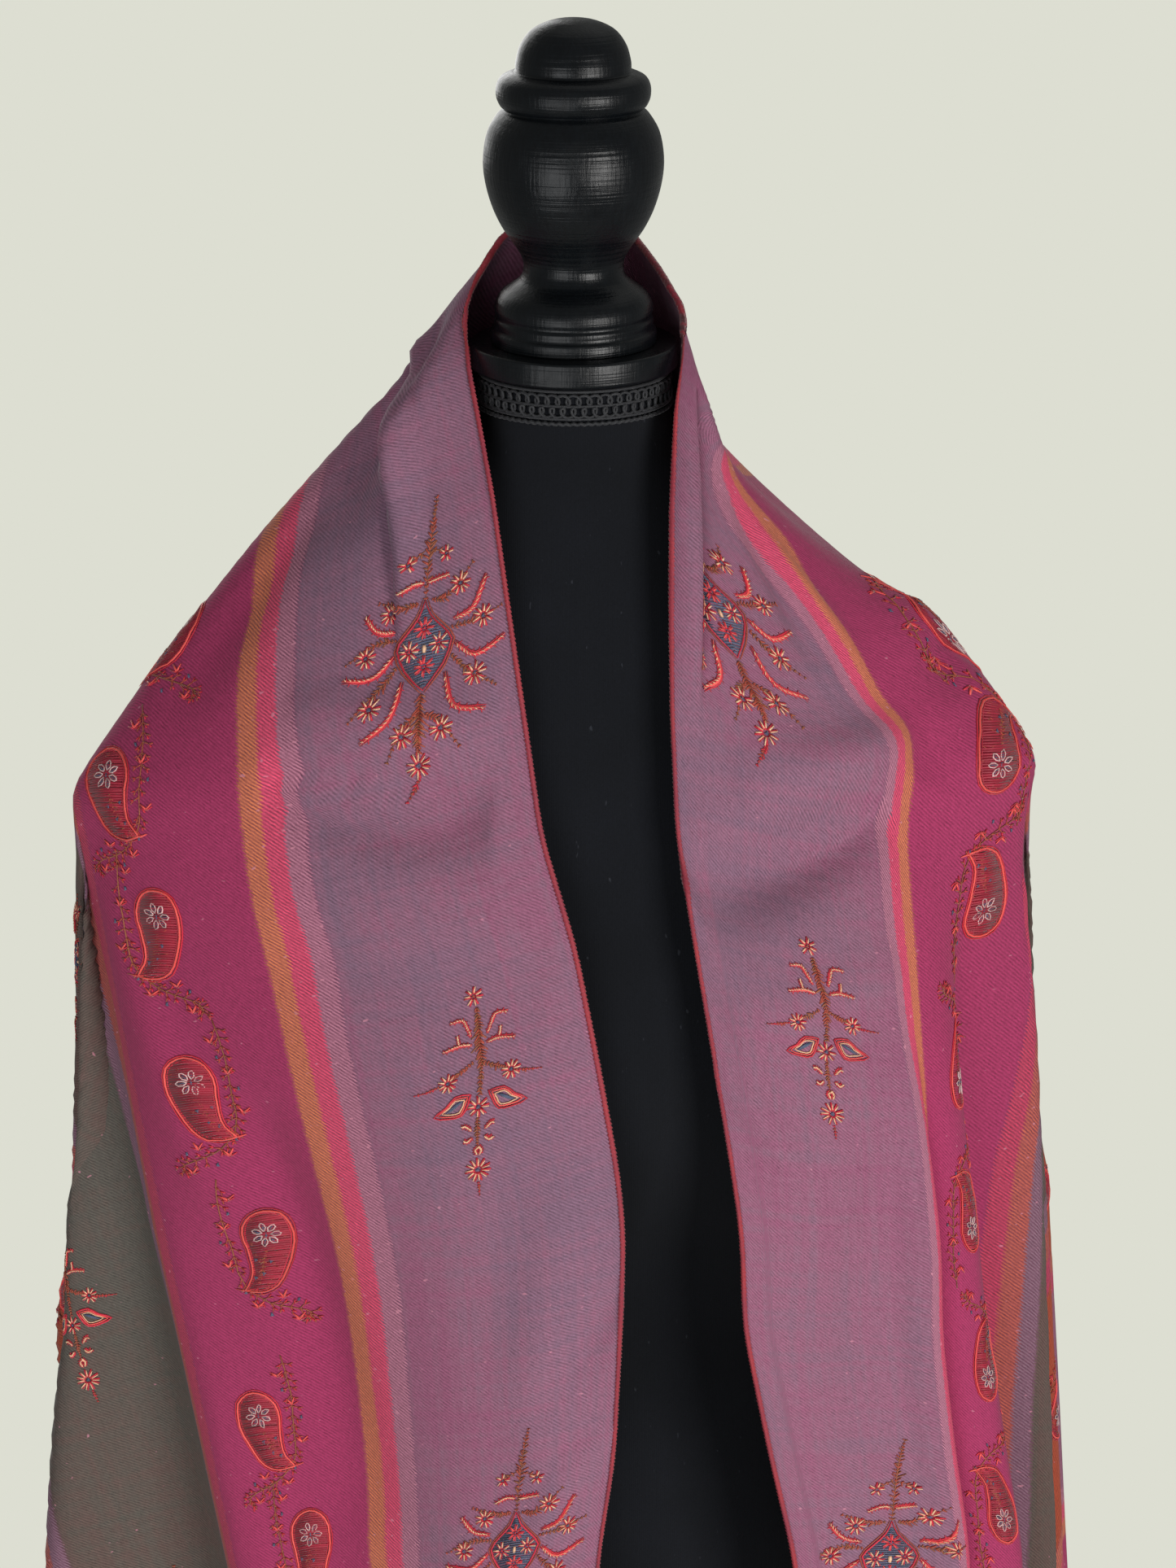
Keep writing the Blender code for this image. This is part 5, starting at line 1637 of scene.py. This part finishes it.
class SHAWL_OT_form(bpy.types.Operator):
    """Cover the form in jersey and sew the braid round its neck"""
    bl_idname = "shawl.form"
    bl_label = "Cover the form"

    def execute(self, context):
        finish = context.scene.shawl_form
        make_form(jersey_material(finish))
        make_braid(braid_material(finish))
        return {"FINISHED"}


class SHAWL_OT_wood(bpy.types.Operator):
    """Turn the finial and neck disc, and paint the pole and base"""
    bl_idname = "shawl.wood"
    bl_label = "Turn the wood"

    def execute(self, context):
        wood = painted_wood(context.scene.shawl_form)
        make_finial(wood)
        make_disc(wood)
        for name in ("pole", "stand_base"):
            for place in frame["nodes"][name].material_slots:
                place.material = wood
        return {"FINISHED"}


class SHAWL_OT_declare(bpy.types.Operator):
    """Remove the strand section that shaped the needlework's strands"""
    bl_idname = "shawl.declare"
    bl_label = "Declare the cloth"

    def execute(self, context):
        objects = bpy.data.objects
        bpy.data.objects.remove(objects["strand_section"])
        return {"FINISHED"}


class SHAWL_OT_stage(bpy.types.Operator):
    """Set the wall, lights and camera"""
    bl_idname = "shawl.stage"
    bl_label = "Set the stage"

    def execute(self, context):
        make_stage(context.scene.shawl_stage)
        return {"FINISHED"}


STEPS = ("panel", "sprigs", "paisleys", "edge", "form", "wood", "declare", "stage")


class SHAWL_PT_sidebar(bpy.types.Panel):
    """Sizes, finishes and steps of the shawl"""
    bl_idname = "SHAWL_PT_sidebar"
    bl_label = "Pashmina shawl"
    bl_space_type = "VIEW_3D"
    bl_region_type = "UI"
    bl_category = "Shawl"

    def draw(self, context):
        for group in ("shawl_sizes", "shawl_cloth", "shawl_form", "shawl_stage"):
            settings = getattr(context.scene, group)
            box = self.layout.box()
            for name in settings.bl_rna.properties.keys():
                if name not in ("rna_type", "name"):
                    box.prop(settings, name)
        for step in STEPS:
            self.layout.operator("shawl." + step)


GROUPS = {"shawl_sizes": ShawlSizes, "shawl_cloth": ClothFinish,
          "shawl_form": FormFinish, "shawl_stage": StageFinish}
CLASSES = (
    ShawlSizes, ClothFinish, FormFinish, StageFinish, SHAWL_OT_panel, SHAWL_OT_sprigs,
    SHAWL_OT_paisleys, SHAWL_OT_edge, SHAWL_OT_form, SHAWL_OT_wood, SHAWL_OT_declare,
    SHAWL_OT_stage, SHAWL_PT_sidebar)


def register():
    for item in CLASSES:
        bpy.utils.register_class(item)
    for name, group in GROUPS.items():
        setattr(bpy.types.Scene, name, bpy.props.PointerProperty(type=group))


def unregister():
    for name in GROUPS:
        delattr(bpy.types.Scene, name)
    for item in reversed(CLASSES):
        bpy.utils.unregister_class(item)


def plain(box):
    """A box as plain lists of numbers."""
    return [[float(v) for v in corner] for corner in box]


def main():
    register()
    for step in STEPS:
        getattr(bpy.ops.shawl, step)()


if __name__ == "__main__":
    main()
